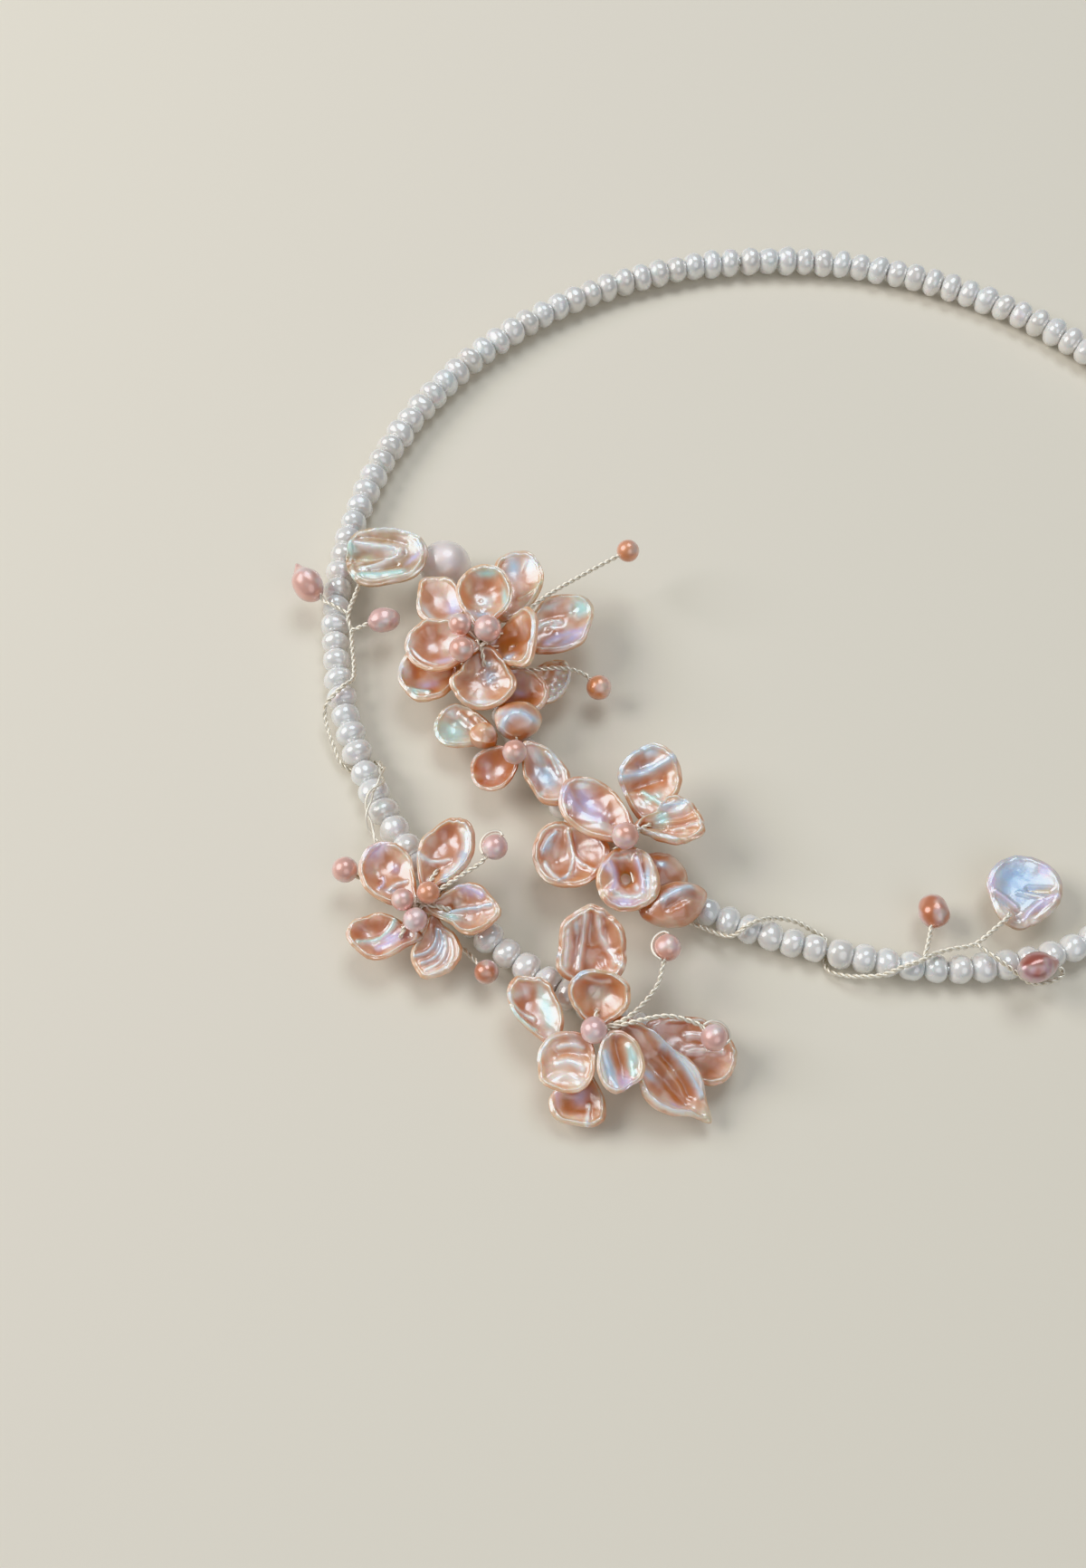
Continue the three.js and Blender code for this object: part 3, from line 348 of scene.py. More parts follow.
          dents=[(0.57, 0.5, 0.9, -0.2), (0.3, 0.0, 0.4, 0.2), (0.36, -0.25, 0.35, 0.2), (0.24, 0.28, 0.35, 0.2),
                 (0.44, 0.08, 0.3, 0.15), (0.2, -0.2, 0.35, 0.2)],
          gleams=[(0.86, -0.1, 0.5, 1.5, 0, MINT, 1.0), (0.42, -0.72, 1.6, 0.4, 8, MINT, 1.0),
                  (0.16, 0.1, 0.6, 1.5, 0, ICE, 0.95), (0.42, -0.1, 0.9, 0.8, 0, SILVER, 0.8),
                  (0.6, 0.5, 1.2, 0.6, 0, GOLD, 0.7)]),
    petal("petal_e3", "oval", 128, 2, 8.2, 6.2, seed=53, tone=0.4, lip=0.4, wrinkle=0.05,
          outline=(1.18, 1.0, 1.05, 1.3, 1.25, 1, 1, 1, 1, 1.05, 1.2, 1.18),
          gleams=[(0.35, -0.35, 1.8, 1.1, -20, LILAC, 1.0), (0.5, 0.8, 1.8, 0.5, 0, SILVER, 0.8),
                  (0.2, 0.0, 0.9, 1.4, 0, SILVER, 0.8)]),
    petal("petal_e4", "oval", 70, 7, 9.8, 7.2, seed=54, tone=0.3, lip=0.3, wrinkle=0.1,
          outline=(1.03, 1.05, 1.18, 1.1, 1.05, 1.15, 1.25, 1.2, 1.15, 1.05, 1, 0.95),
          ridges=[(0.62, -0.95, 0.3, -0.3, 0.2, 0.25, 0.3, GOLD)],
          gleams=[(0.74, 0.35, 1.6, 1.1, 20, ICE, 1.0), (0.85, -0.2, 1.4, 1.3, 0, SILVER, 1.0),
                  (0.5, -0.75, 1.5, 0.6, 10, GOLD, 0.8), (0.4, 0.4, 1.2, 1.0, 0, SILVER, 0.6)]),
    petal("petal_e5", "oval", -2, 45, 6.8, 8.4, seed=55, tone=0.5, lip=0.5, wrinkle=0.1,
          outline=(0.98, 1.08, 1.15, 1.1, 1.25, 1.4, 1.6, 1.25, 1.1, 1.1, 1.35, 1.12),
          dents=[(0.25, -0.1, 0.4, 0.4), (0.3, -0.1, 0.2, -0.4), (0.3, -0.55, 0.4, 0.4), (0.45, -0.6, 0.4, 0.4),
                 (0.2, -0.7, 0.35, 0.3)],
          gleams=[(0.94, 0.0, 0.35, 2.6, 0, SILVER, 0.95), (0.3, -0.55, 1.0, 0.8, 0, ICE, 0.9),
                  (0.6, 0.3, 1.0, 1.0, 0, ROSE, 0.5)]),
    petal("petal_e6", "pointed", 36, 5, 9.8, 8.2, seed=56, tone=0.4, lip=0.3, wrinkle=0.1,
          outline=(1.02, 1.08, 1.08, 1.18, 1.15, 1.15, 1.25, 1.3, 1.25, 1.15, 0.92, 0.95),
          dents=[(0.42, 0.25, 0.4, 0.3), (0.5, 0.2, 0.3, 0.25), (0.35, -0.1, 0.4, 0.25), (0.28, 0.1, 0.4, 0.25)],
          ridges=[(0.25, 0.58, 0.73, 0.25, 0.1, 0.6, -0.3, None), (0.15, 0.3, 0.5, 0.1, 0.6, 0.4, 0.22, SILVER),
                  (0.15, -0.3, 0.6, -0.62, 0.5, 0.7, 0.2, LILAC)],
          gleams=[(0.84, 0.1, 1.5, 1.5, 20, MINT, 1.0), (0.45, -0.66, 2.4, 0.9, 5, LILAC, 1.0),
                  (0.5, 0.75, 2.0, 0.5, -10, SILVER, 0.8), (0.4, 0.15, 0.9, 0.5, 20, SILVER, 0.9)]),
    petal("petal_e7", "scroll", -92, -18, 7.0, 8.6, seed=57, tone=0.45, lip=0.5, wrinkle=0.1,
          outline=(1.1, 1.05, 1.05, 1.07, 1, 1.15, 1.5, 1.15, 0.88, 1.05, 1, 1.08),
          dents=[(0.16, 0.12, 0.4, 0.35), (0.3, 0.0, 0.35, 0.3), (0.41, 0.29, 0.35, 0.35), (0.57, 0.36, 0.35, 0.3),
                 (0.24, 0.33, 0.3, 0.3), (0.38, -0.18, 0.3, 0.25), (0.5, 0.1, 0.3, 0.25), (0.3, -0.4, 0.35, 0.25)],
          gleams=[(0.9, 0.0, 0.4, 2.4, 0, SILVER, 0.9), (0.4, 0.2, 1.0, 1.0, 0, ICE, 0.85),
                  (0.15, 0.1, 0.6, 0.9, 0, SILVER, 0.8)]),
    petal("petal_e8", "oval", -168, -2, 7.6, 9.0, seed=58, tone=0.4, lip=0.4, wrinkle=0.1,
          outline=(0.97, 0.93, 0.97, 0.98, 1.12, 1.2, 1.3, 1.25, 1.1, 1, 1, 1),
          ridges=[(0.82, 0.4, 0.5, 0.6, 0.1, 0.4, 0.4, MINT)],
          gleams=[(0.85, -0.3, 1.0, 1.8, 0, SILVER, 1.0), (0.76, 0.5, 1.0, 0.5, 100, MINT, 1.0),
                  (0.5, 0.3, 1.4, 0.8, 0, LILAC, 0.8)]),
    petal("petal_e9", "scroll", -35, -4, 6.4, 7.2, seed=59, tone=0.1, lip=0.3, wrinkle=0.3,
          outline=(0.75, 0.75, 0.88, 1.05, 1, 1, 1, 1, 1, 1, 0.95, 0.82),
          dents=[(0.5, 0.85, 0.4, 0.55), (0.65, 0.7, 0.4, 0.55), (0.75, 0.48, 0.4, 0.55), (0.8, 0.22, 0.4, 0.5),
                 (0.8, -0.05, 0.4, 0.5), (0.77, -0.3, 0.4, 0.5), (0.68, -0.55, 0.4, 0.5), (0.6, 0.45, 0.35, 0.4),
                 (0.65, 0.1, 0.35, 0.4), (0.6, -0.2, 0.35, 0.4)],
          gleams=[(0.72, 0.1, 1.5, 3.6, 0, SILVER, 1.0), (0.5, 0.6, 0.8, 0.9, 0, SILVER, 0.9)]),
    petal("petal_e10", "oval", -50, -3, 5.4, 5.2, seed=60, tone=0.9, lip=0.25, wrinkle=0.08, shift=(0.5, -0.7),
          outline=(1.35, 1.4, 1.45, 1.45, 1.45, 1.45, 1.45, 1.4, 1.35, 1.35, 1.35, 1.3),
          gleams=[(0.5, 0.0, 1.0, 0.5, 30, LILAC, 0.6)]),
]
LEAVES = [
    petal("left_vine_leaf", "leaf_blade", 8, 6, 11.8, 8.8, seed=71, tone=0.65, lip=0.35, wrinkle=0.12,
          outline=(0.98, 0.94, 0.9, 1.05, 1.28, 1.02, 0.97, 1.03, 1.2, 1.15, 1.2, 1.05),
          dents=[(0.2, -0.4, 0.35, -0.5), (0.1, -0.75, 0.4, 0.35), (0.05, -0.4, 0.4, 0.3), (0.93, 0.4, 0.4, 0.35)],
          ridges=[(0.1, 0.6, 0.66, 0.05, 0.5, 0.55, 0.55, SILVER), (0.2, -0.35, 0.68, 0.0, -0.3, 0.5, 0.5, SILVER),
                  (0.08, 0.2, 0.6, 0.04, 0, 0.5, -0.9, None), (0.42, 0.92, 0.9, 0.5, 0.3, 0.4, 0.35, SILVER),
                  (0.3, 0.85, 0.75, 0.3, 0.3, 0.35, -0.4, None), (0.2, -0.6, 0.66, -0.8, -0.2, 0.6, 0.4, MINT),
                  (0.3, -0.42, 0.62, -0.42, 0, 0.3, -0.35, None)],
          gleams=[(0.1, 0.5, 1.0, 0.9, 80, MINT, 1.0), (0.45, -0.7, 2.6, 0.6, -4, MINT, 0.8),
                  (0.82, -0.3, 1.3, 0.5, 35, LILAC, 0.9), (0.35, 0.42, 1.8, 0.4, -14, SILVER, 0.9),
                  (0.9, 0.15, 0.5, 0.5, 0, ICE, 0.8), (0.08, -0.65, 0.8, 0.5, 80, MINT, 0.95),
                  (0.25, 0.08, 1.1, 0.6, 6, GOLD, 1.0), (0.5, 0.75, 1.6, 0.4, -4, GOLD, 0.6)]),
    petal("right_vine_leaf", "leaf_blade", 78, 0, 9.8, 9.2, seed=72, ease=1.5, tone=0.25, lip=0.18, wrinkle=0.08,
          outline=(0.93, 0.9, 0.9, 0.97, 0.94, 1.06, 1.12, 1.03, 1.05, 1.1, 1.12, 1.0),
          dents=[(0.14, 0.04, 0.38, -0.5)],
          ridges=[(0.5, -0.21, 0.53, -0.76, 0, 0.35, -0.5, GOLD), (0.43, 0.1, 0.41, -0.57, 0, 0.22, 0.35, SILVER),
                  (0.375, 0.7, 0.22, 0.1, 0.1, 0.3, 0.4, LILAC), (0.3, 0.65, 0.17, 0.15, 0.1, 0.3, -0.4, None),
                  (0.08, -0.15, 0.46, -0.92, 0.5, 0.45, 0.4, LILAC)],
          gleams=[(0.6, 0.1, 4.2, 4.0, 0, SKY, 1.0), (0.8, -0.55, 1.4, 1.0, 0, LILAC, 1.0),
                  (0.5, 0.8, 1.6, 0.6, 0, LILAC, 1.0), (0.12, 0.35, 0.9, 1.2, 0, ROSE, 1.0),
                  (0.3, -0.55, 2.0, 0.5, -50, LILAC, 1.0), (0.7, 0.98, 2.2, 0.35, 0, ROSE, 1.0),
                  (0.1, -0.3, 1.0, 0.6, -50, ROSE, 1.0)]),
]


def petal_axes(row):
    """Columns: along the petal, across it to the left, and up out of its dish."""
    length = direction(row["heading"], row["pitch"])
    face = (UP - length * length.z).normalized()
    return Matrix((length, face.cross(length), face)).transposed()


def middle_height(form, x, y, ease=0.0):
    """The height of the petal's middle surface where its flat ball has x and y, in mm. ease rounds its fold."""
    return (form["cup"] * (x * x + y * y - 0.5) + form["curl"] * ((1 + x) / 2) ** 2
            + form["fold"] * (np.sqrt(y * y + ease * ease) - ease))


def plate_height(form, side):
    """The height over its middle surface of a plate with full, rounded edges, in mm. side is 1 on top."""
    return np.sign(side) * np.abs(side) ** PLATE_POWER * form["thick"] / 2


def narrowing(form, x):
    """How far the form draws in its width, where x is -1 at the root and 1 at the tip."""
    root = 1 - form["taper"] * ((1 - x) / 2) ** 2
    return root * (1 - form["point"] * np.maximum(x, 0) ** 2 * POINT_NARROWS)


def plain_petal(row):
    """Corners of the frame's own petal, whose box gives the petal its place."""
    form, sectors, rings = FORMS[row["form"]], 10, 6
    angle, rise = np.meshgrid(np.arange(sectors) * math.tau / sectors, np.arange(rings + 1) * math.pi / rings)
    x, y = -np.cos(angle) * np.sin(rise), -np.sin(angle) * np.sin(rise)
    height = plate_height(form, np.cos(rise)) + middle_height(form, x, y)
    across = row["width"] / 2 * y * narrowing(form, x)
    return np.stack([row["length"] / 2 * (1 + x), across, height], axis=-1).reshape(-1, 3)


def petal_root(row):
    """Where the petal's root is, in metres: its box in the frame, less the same petal's box about its root."""
    turned = plain_petal(row) @ np.array(petal_axes(row)).T
    low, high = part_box(row["name"])
    return (low + high) / 2 - Vector((turned.min(0) + turned.max(0)) / 2) * MM + Vector((*row["shift"], 0)) * MM


def noise_over(points, size, seed):
    """Smooth noise from about -1 to 1 over the rows of points, with features of that size."""
    start = Vector((seed * 3.7, seed * 1.3, seed * 5.9))
    return np.array([noise.noise(Vector(p) / size + start) for p in points])


def mound(x, y, centre, radius):
    """1 in the middle of a round mound, falling smoothly to 0 past its radius."""
    return np.exp(-((x - centre[0]) ** 2 + (y - centre[1]) ** 2) / (radius * radius))


def through(p0, p1, p2, p3, t):
    """The place from p1 to p2, for t from 0 to 1, on a smooth line through four points."""
    return 0.5 * (2 * p1 + (p2 - p0) * t + (2 * p0 - 5 * p1 + 4 * p2 - p3) * t ** 2
                  + (3 * p1 - p0 - 3 * p2 + p3) * t ** 3)


def round_outline(turn, shares):
    """A smooth closed run through shares that are evenly spaced round the circle."""
    shares = np.array(shares, float)
    at = turn / math.tau * len(shares)
    i = np.floor(at).astype(int)
    return through(*[shares[(i + k) % len(shares)] for k in (-1, 0, 1, 2)], at - i)


def far_from_line(x, y, start, end, bend):
    """How far the points are from a bent line, in mm."""
    start, end = np.array(start), np.array(end)
    ahead = end - start
    side = np.array([-ahead[1], ahead[0]]) / max(np.hypot(*ahead), 1e-6)
    bends = [start + ahead * t + side * bend * 4 * t * (1 - t) for t in np.linspace(0, 1, 7)]
    far = np.full(len(x), np.inf)
    for p, q in zip(bends, bends[1:]):
        d = q - p
        t = np.clip(((x - p[0]) * d[0] + (y - p[1]) * d[1]) / max(d @ d, 1e-9), 0, 1)
        far = np.minimum(far, np.hypot(x - p[0] - t * d[0], y - p[1] - t * d[1]))
    return far


def petal_points(row, settings):
    """A petal's points: rings from the middle of its dish, over the rim, to the middle of its back, and then the
    two middles. Each has its reach (0 middle, 1 edge), its side (1 dish, -1 back), the rim's waves, its place
    on the form's flat ball and its place on the petal in mm."""
    top, back, sectors = settings.dish_rings, settings.back_rings, settings.sectors
    slope = np.concatenate([np.arange(1, top + 1) / top, 1 + np.arange(1, back) / back]) * math.pi / 2
    angle = np.arange(sectors) * math.tau / sectors
    rise, turn = [grid.ravel() for grid in np.meshgrid(slope, angle, indexing="ij")]
    rise, turn = np.append(rise, [0, math.pi]), np.append(turn, [0, 0])
    at = SimpleNamespace(rings=len(slope), reach=np.sin(rise), side=np.cos(rise))
    circle = np.stack([np.cos(turn), np.sin(turn), 0 * turn], 1)
    at.wave, at.fine = noise_over(circle, WAVE, row["seed"]), noise_over(circle, FINE, row["seed"] + 9)
    spread = round_outline(turn, row["outline"]) + row["ruffle"] * (1.2 * at.wave + at.fine)
    spread = 1 + (spread - 1) * smoothstep(at.reach, 0.05, 0.8)
    at.x, at.y = at.reach * np.cos(turn), at.reach * np.sin(turn)
    at.along = row["length"] / 2 * (1 + at.x * spread)
    at.across = row["width"] / 2 * at.y * narrowing(FORMS[row["form"]], at.x) * spread
    at.flat = np.stack([at.along, at.across, 0 * at.along], 1)
    # lit is the upper side, which alone takes the painted highlights.
    at.upper, at.lit = smoothstep(at.side, -0.05, 0.25), smoothstep(at.side, -0.1, 0.1)
    at.lip_at = LIP_AT + LIP_STRAY * at.fine
    at.crest = np.exp(-((at.reach - at.lip_at) / LIP_WIDTH) ** 2)
    at.lift = row["lip"] * (0.75 + 0.9 * at.wave + 0.45 * at.fine)
    at.dish = 1 - smoothstep(at.reach, DISH_FROM, at.lip_at)
    return at


def on_petal(row, along, across):
    """A place on the petal in mm, from its shares along (0 root, 1 tip) and across (-1 right, 1 left)."""
    return along * row["length"], across * row["width"] / 2


def petal_relief(row, at, settings):
    """How far the dish stands over its form, in mm, and the highlights painted along its ridges."""
    seed = row["seed"]
    broad = noise_over(at.flat, BROAD, seed + 1)
    pulled = at.flat + CREASE_PULL * np.stack([broad, noise_over(at.flat, BROAD, seed + 3), 0 * broad], 1)
    creases = 0.5 - 2.2 * np.abs(noise_over(pulled, CREASE, seed + 2))
    small = noise_over(pulled, SMALL, seed + 5)
    wrinkles = (1.7 * broad + 0.6 * creases + 0.2 * small) * (1 - 0.6 * at.crest)
    relief = settings.lip_height * (at.lift * at.crest - row["lip"] * DISH_DEPTH * at.dish)
    relief += settings.wrinkle_height * row["wrinkle"] * wrinkles
    if row["ribs"]:
        comb = np.cos(np.arctan2(at.across, at.along + 1.0) * row["rib_count"] * 3.2 + 1.5 * broad)
        relief += row["ribs"] * comb * smoothstep(at.along / row["length"], 0.1, 0.5)
    for a, b, radius, height in row["dents"]:
        relief += height * mound(at.along, at.across, on_petal(row, a, b), radius)
    lights = []
    for a0, b0, a1, b1, bend, half_width, height, tint in row["ridges"]:
        far = far_from_line(at.along, at.across, on_petal(row, a0, b0), on_petal(row, a1, b1), bend)
        swell = np.exp(-((far + RIDGE_STRAY * small) / half_width) ** 2)
        relief += height * swell
        if tint:
            # The highlight painted along the ridge, on the upper side only.
            lights.append((RIDGE_LIGHT * swell * at.lit, tint))
    return relief, lights


def petal_gleams(row, at):
    """The painted highlights and reflections of a petal's gleams, on its upper side."""
    patchy = noise_over(at.flat, SMALL, row["seed"] + 4)
    lights = []
    for a, b, half_length, half_width, degrees, tint, strength in row["gleams"]:
        middle = on_petal(row, a, b)
        du, dv = at.along - middle[0], at.across - middle[1]
        c, s = math.cos(math.radians(degrees)), math.sin(math.radians(degrees))
        far = np.hypot((du * c + dv * s) / half_length, (dv * c - du * s) / half_width)
        lights.append((strength * np.exp(-GLEAM_FALL * (far + GLEAM_STRAY * patchy) ** 2) * at.lit, tint))
    return lights


def strongest(lights, count):
    """Each point's tint and strength of painted light, from whichever painted highlight is strongest there."""
    gleam = np.zeros((count, 4))
    for share, tint in lights:
        gleam[:, :3] = np.where((share > gleam[:, 3])[:, None], tint, gleam[:, :3])
        gleam[:, 3] = np.maximum(gleam[:, 3], share)
    return gleam


def petal_faces(rings, sectors):
    """Faces that join the rings and close both middles."""
    first, last = rings * sectors, rings * sectors + 1
    faces = []
    for i in range(sectors):
        j = (i + 1) % sectors
        faces.append((first, i, j))
        faces.append((last, (rings - 1) * sectors + j, (rings - 1) * sectors + i))
        for k in range(rings - 1):
            faces.append((k * sectors + i, (k + 1) * sectors + i, (k + 1) * sectors + j, k * sectors + j))
    return faces


def petal_surface(row, settings):
    """Corners, faces, shape and gleam of a petal. shape holds each corner's crest, where a highlight is painted,
    its depth, where shade is painted, its tone, and its outer edge and back, where shade is painted too. gleam
    holds painted highlights.
    """
    form = FORMS[row["form"]]
    at = petal_points(row, settings)
    relief, lights = petal_relief(row, at, settings)
    middle = middle_height(form, at.x, at.y, row["ease"])
    height = plate_height(form, at.side) + middle + at.upper * relief + RIM_RUFFLE * at.wave * at.reach ** 3
    gleam = strongest(lights + petal_gleams(row, at), len(height))
    # Painted shade: darker in the dish and in the hollows between wrinkles, near the root where the petals meet,
    # and on the outer edge past the lip and on the back.
    deep_and_shade = np.clip(0.3 + 0.7 * at.dish - 0.9 * relief * at.upper, 0, 1)
    shade_near_root = 1 - smoothstep(at.along / row["length"], 0.02, 0.28)
    fringe_shade = np.maximum(smoothstep(at.reach, at.lip_at + 0.03, 0.99), 1 - smoothstep(at.side, -0.3, 0.1))
    # The crest takes the highlight painted along the lip; the depth and the last channel take painted shade.
    shape = np.stack([at.crest * at.upper * np.clip(at.lift * 2.2, 0.1, 1), np.maximum(deep_and_shade * 0.85, shade_near_root),
                      np.full(len(height), row["tone"]), fringe_shade], 1)
    corners = np.stack([at.along, at.across, height], 1)
    return corners, petal_faces(at.rings, settings.sectors), shape, gleam


def top_height(row, settings, a, b):
    """The height of the dish at a share along and across, in mm above the root."""
    corners = petal_surface(row, settings)[0][: settings.dish_rings * settings.sectors]
    along, across = on_petal(row, a, b)
    far = np.hypot(corners[:, 0] - along, corners[:, 1] - across)
    return float(corners[int(np.argmin(far)), 2])


# ---- Flowers ----
# The hub's bearing, how far out from the strand's middle and how high it is, in mm. Each pearl is x, y, z from
# the hub, its diameter and its tone. Each spray is its pearl's diameter and tone, the side on which its wire
# loops round the pearl (1, -1 or 0 for none) and its stem's points from the hub. Each tie is a petal whose wire
# shows, and where along it the hole is.
FLOWERS = {
    "flower_a": dict(
        hub=(221.2, 3.9, 5.0),
        pearls=[(-1.7, -0.2, 2.4, 2.8, 0.22), (1.4, 0.6, 2.6, 2.8, 0.42), (-0.1, -2.6, 1.8, 3.0, 0.05)],
        sprays=[
            dict(pearl=3.3, tone=0.2, loop=0, stem=[(-4, 2.6, -1.8), (-7.4, 4.0, -0.8), (-9.3, 4.8, 0)]),
            dict(pearl=3.2, tone=0.12, loop=1,
                 stem=[(1.0, 0.6, 0.6), (4.6, 2.8, 1.6), (7.6, 4.4, 2.8), (9.5, 6.3, 3.5)]),
            dict(pearl=3.0, tone=0.75, loop=0, stem=[(2.4, -2.2, -2.7), (5.8, -5.0, -2.5), (8.5, -8.1, -1.5)]),
        ],
        ties=[("petal_a2", 0.27), ("petal_a3", 0.2), ("petal_a5", 0.12)],
    ),
    "flower_b": dict(
        hub=(243.3, 3.6, 6.0),
        pearls=[(0, -0.6, 1.8, 3.2, 0.05)],
        sprays=[
            dict(pearl=3.3, tone=0.25, loop=1,
                 stem=[(1.4, 0.1, 0.6), (4.4, 1.4, 1.2), (7.4, 4.6, 1.6), (8.4, 7.6, 2.0), (8.9, 9.5, 2.0)]),
            dict(pearl=3.2, tone=0.15, loop=1,
                 stem=[(1.4, -0.2, 0.7), (5.4, 0.7, 1.4), (8.8, 1.2, 1.5), (12.0, 0.4, 1.2), (14.1, -1.1, 0.5)]),
        ],
        ties=[("petal_b2", 0.12)],
    ),
    "flower_c": dict(hub=(-125.3, -0.4, 7.0), pearls=[(0, -0.3, 2.3, 3.4, 0.28)], sprays=[],
                     ties=[("petal_c5", 0.15)]),
    "flower_d": dict(hub=(-148.1, 2.3, 6.5), pearls=[(0, -0.8, 1.5, 3.2, 0.28)], sprays=[], ties=[]),
    "flower_e": dict(
        hub=(-167, -0.1, 9.0),
        pearls=[(-2.7, 1.5, 2.2, 3.1, 0.25), (0.9, 1.0, 2.0, 3.6, 0.2), (-2.4, -2.2, 2.0, 3.3, 0.28)],
        sprays=[
            dict(pearl=3.1, tone=0.45, loop=0,
                 stem=[(2.0, 1.6, -1.0), (8, 7.6, -1.0), (14, 11.6, -0.6), (19.8, 14.9, 0)]),
            dict(pearl=3.4, tone=0.5, loop=0,
                 stem=[(4, -1.2, -4.4), (10.6, -1.6, -3.6), (13.6, -2.2, -4.1), (15.7, -3.8, -5)]),
        ],
        ties=[("petal_e7", 0.15)],
    ),
}

# ---- Vines ----
# A point of a vine's wire: its bearing, how far out from the strand's middle, and its height, in mm.
VINES = {
    "left_vine": [
        [(177.2, -3.8, 6.2), (179.2, -3.4, 5.6), (182.9, -2.1, 4.9), (184.7, -2.4, 4.3), (186.4, -2.4, 4.0),
         (189.6, -2.4, 3.8), (191.9, -2.0, 4.4), (192.8, -0.7, 4.9), (194.1, 1.8, 4.2), (194.8, 2.6, 2.8),
         (196.7, 2.7, 2.2), (198.7, 2.6, 1.8), (200.8, 2.4, 1.2), (202, 1.1, 0.55), (202, -1.1, 0.55),
         (202.4, -2.2, 1.6), (204.3, -2.3, 3.2)],
        [(182.8, -2.1, 4.9), (181.6, 0.2, 5.3), (180.7, 1.4, 4.9), (179.6, 2.1, 5.2)],
        [(184.9, -2.4, 4.3), (184.7, -3.6, 4.6), (184.4, -4.8, 4.9)],
    ],
    "right_vine": [
        [(-112, 2.2, 1.8), (-107.6, 2.3, 2.5), (-105.6, 2.2, 3.5), (-104.2, 0.9, 4.5), (-102.1, -0.8, 4.4),
         (-99.6, -2.2, 3.0), (-97, -2.7, 2.4), (-94.6, -2.6, 1.5), (-92.4, -2.1, 0.9), (-92.4, -1.0, 0.5),
         (-92.4, 1.0, 0.5), (-92.0, 2.1, 0.9), (-90.6, 2.5, 1.4), (-88.6, 2.6, 2.2), (-85.8, 2.2, 3.1),
         (-83.3, 1.2, 4.2), (-80.3, -0.1, 4.6), (-78.6, -1.1, 4.4), (-76.1, -1.8, 4.4), (-73, -2.3, 4.5),
         (-69.8, -3.9, 4.8), (-67.2, -5.2, 4.8), (-66.6, -5.8, 4.5)],
        [(-80.3, -0.1, 4.6), (-79, -2.4, 4.3), (-77.6, -4.8, 3.7), (-77.0, -5.8, 3.5)],
        [(-73, -2.3, 4.5), (-71.4, -0.1, 4.8), (-69.5, 2.0, 3.9), (-68.2, 3.2, 3.2), (-66, 3.5, 3.2),
         (-64.4, 3.0, 3.6), (-65, 1.9, 4.2), (-66, 1.8, 4.9)],
    ],
}
LOOSE_TWISTS = {
    "left_vine": [[(204.0, -2.3, 3.1), (206.3, -1.2, 4.6), (207.2, 0.5, 5.0), (208.7, 2.0, 4.7), (210, 2.6, 4.2),
                   (211.5, 2.9, 4.0), (214.2, 3.1, 3.8), (217.6, 3.4, 3.6), (221.2, 3.7, 4.2)]],
}
VINE_PEARLS = [
    # node, long, wide, heading, pitch, tone, how pointed
    ("left_vine_pointed_pearl", 5.4, 4.3, 120, 12, 0.2, 1.0),
    ("left_vine_oval_pearl", 4.4, 3.4, 10, 0, 0.1, 0.0),
    ("right_vine_oval_pearl", 4.5, 3.8, 100, -10, 0.75, 0.0),
    ("right_vine_red_pearl", 5.2, 3.6, 20, -4, 1.0, 0.4),
]


# ---- Settings ----
def colour_property(name, description, default):
    return FloatVectorProperty(name=name, description=description, subtype="COLOR", size=3, min=0, max=1,
                               default=default)


def length_property(name, description, default, least=0.0):
    """A length, with its default and its least value in mm."""
    return FloatProperty(name=name, description=description, default=default * MM, min=least * MM,
                         unit="LENGTH", precision=5)


def power_property(name, description, default):
    return FloatProperty(name=name, description=description, default=default, min=0, unit="POWER")


def share_property(name, description, default, least, most):
    return FloatProperty(name=name, description=description, default=default, min=least, max=most,
                         subtype="FACTOR")


class ChokerStrand(bpy.types.PropertyGroup):
    """Sizes and colour of the strand's pearls."""
    pitch: length_property("Pitch", "About how much of the wire one pearl takes up", 2.9, least=1.0)
    fill: share_property("Fill", "How long each pearl is, as a share of its stretch of wire", 1.07, 0.5, 1.2)
    lumps: length_property("Lumps", "How far a pearl strays from a smooth oval", 0.26)
    lump_size: length_property("Lump size", "How wide the lumps on a pearl are", 1.9, least=0.1)
    seed: IntProperty(name="Seed", description="Which of the possible strings of pearls is made", default=4)
    wire: length_property("Stiff wire", "Radius of the wire inside the pearls", 0.5)
    colour: colour_property("Colour", "Body colour of the strand's pearls", (0.84, 0.835, 0.82))
    end_colour: colour_property("End pearl", "Body colour of the large pearl on the inner end", (0.89, 0.77, 0.72))


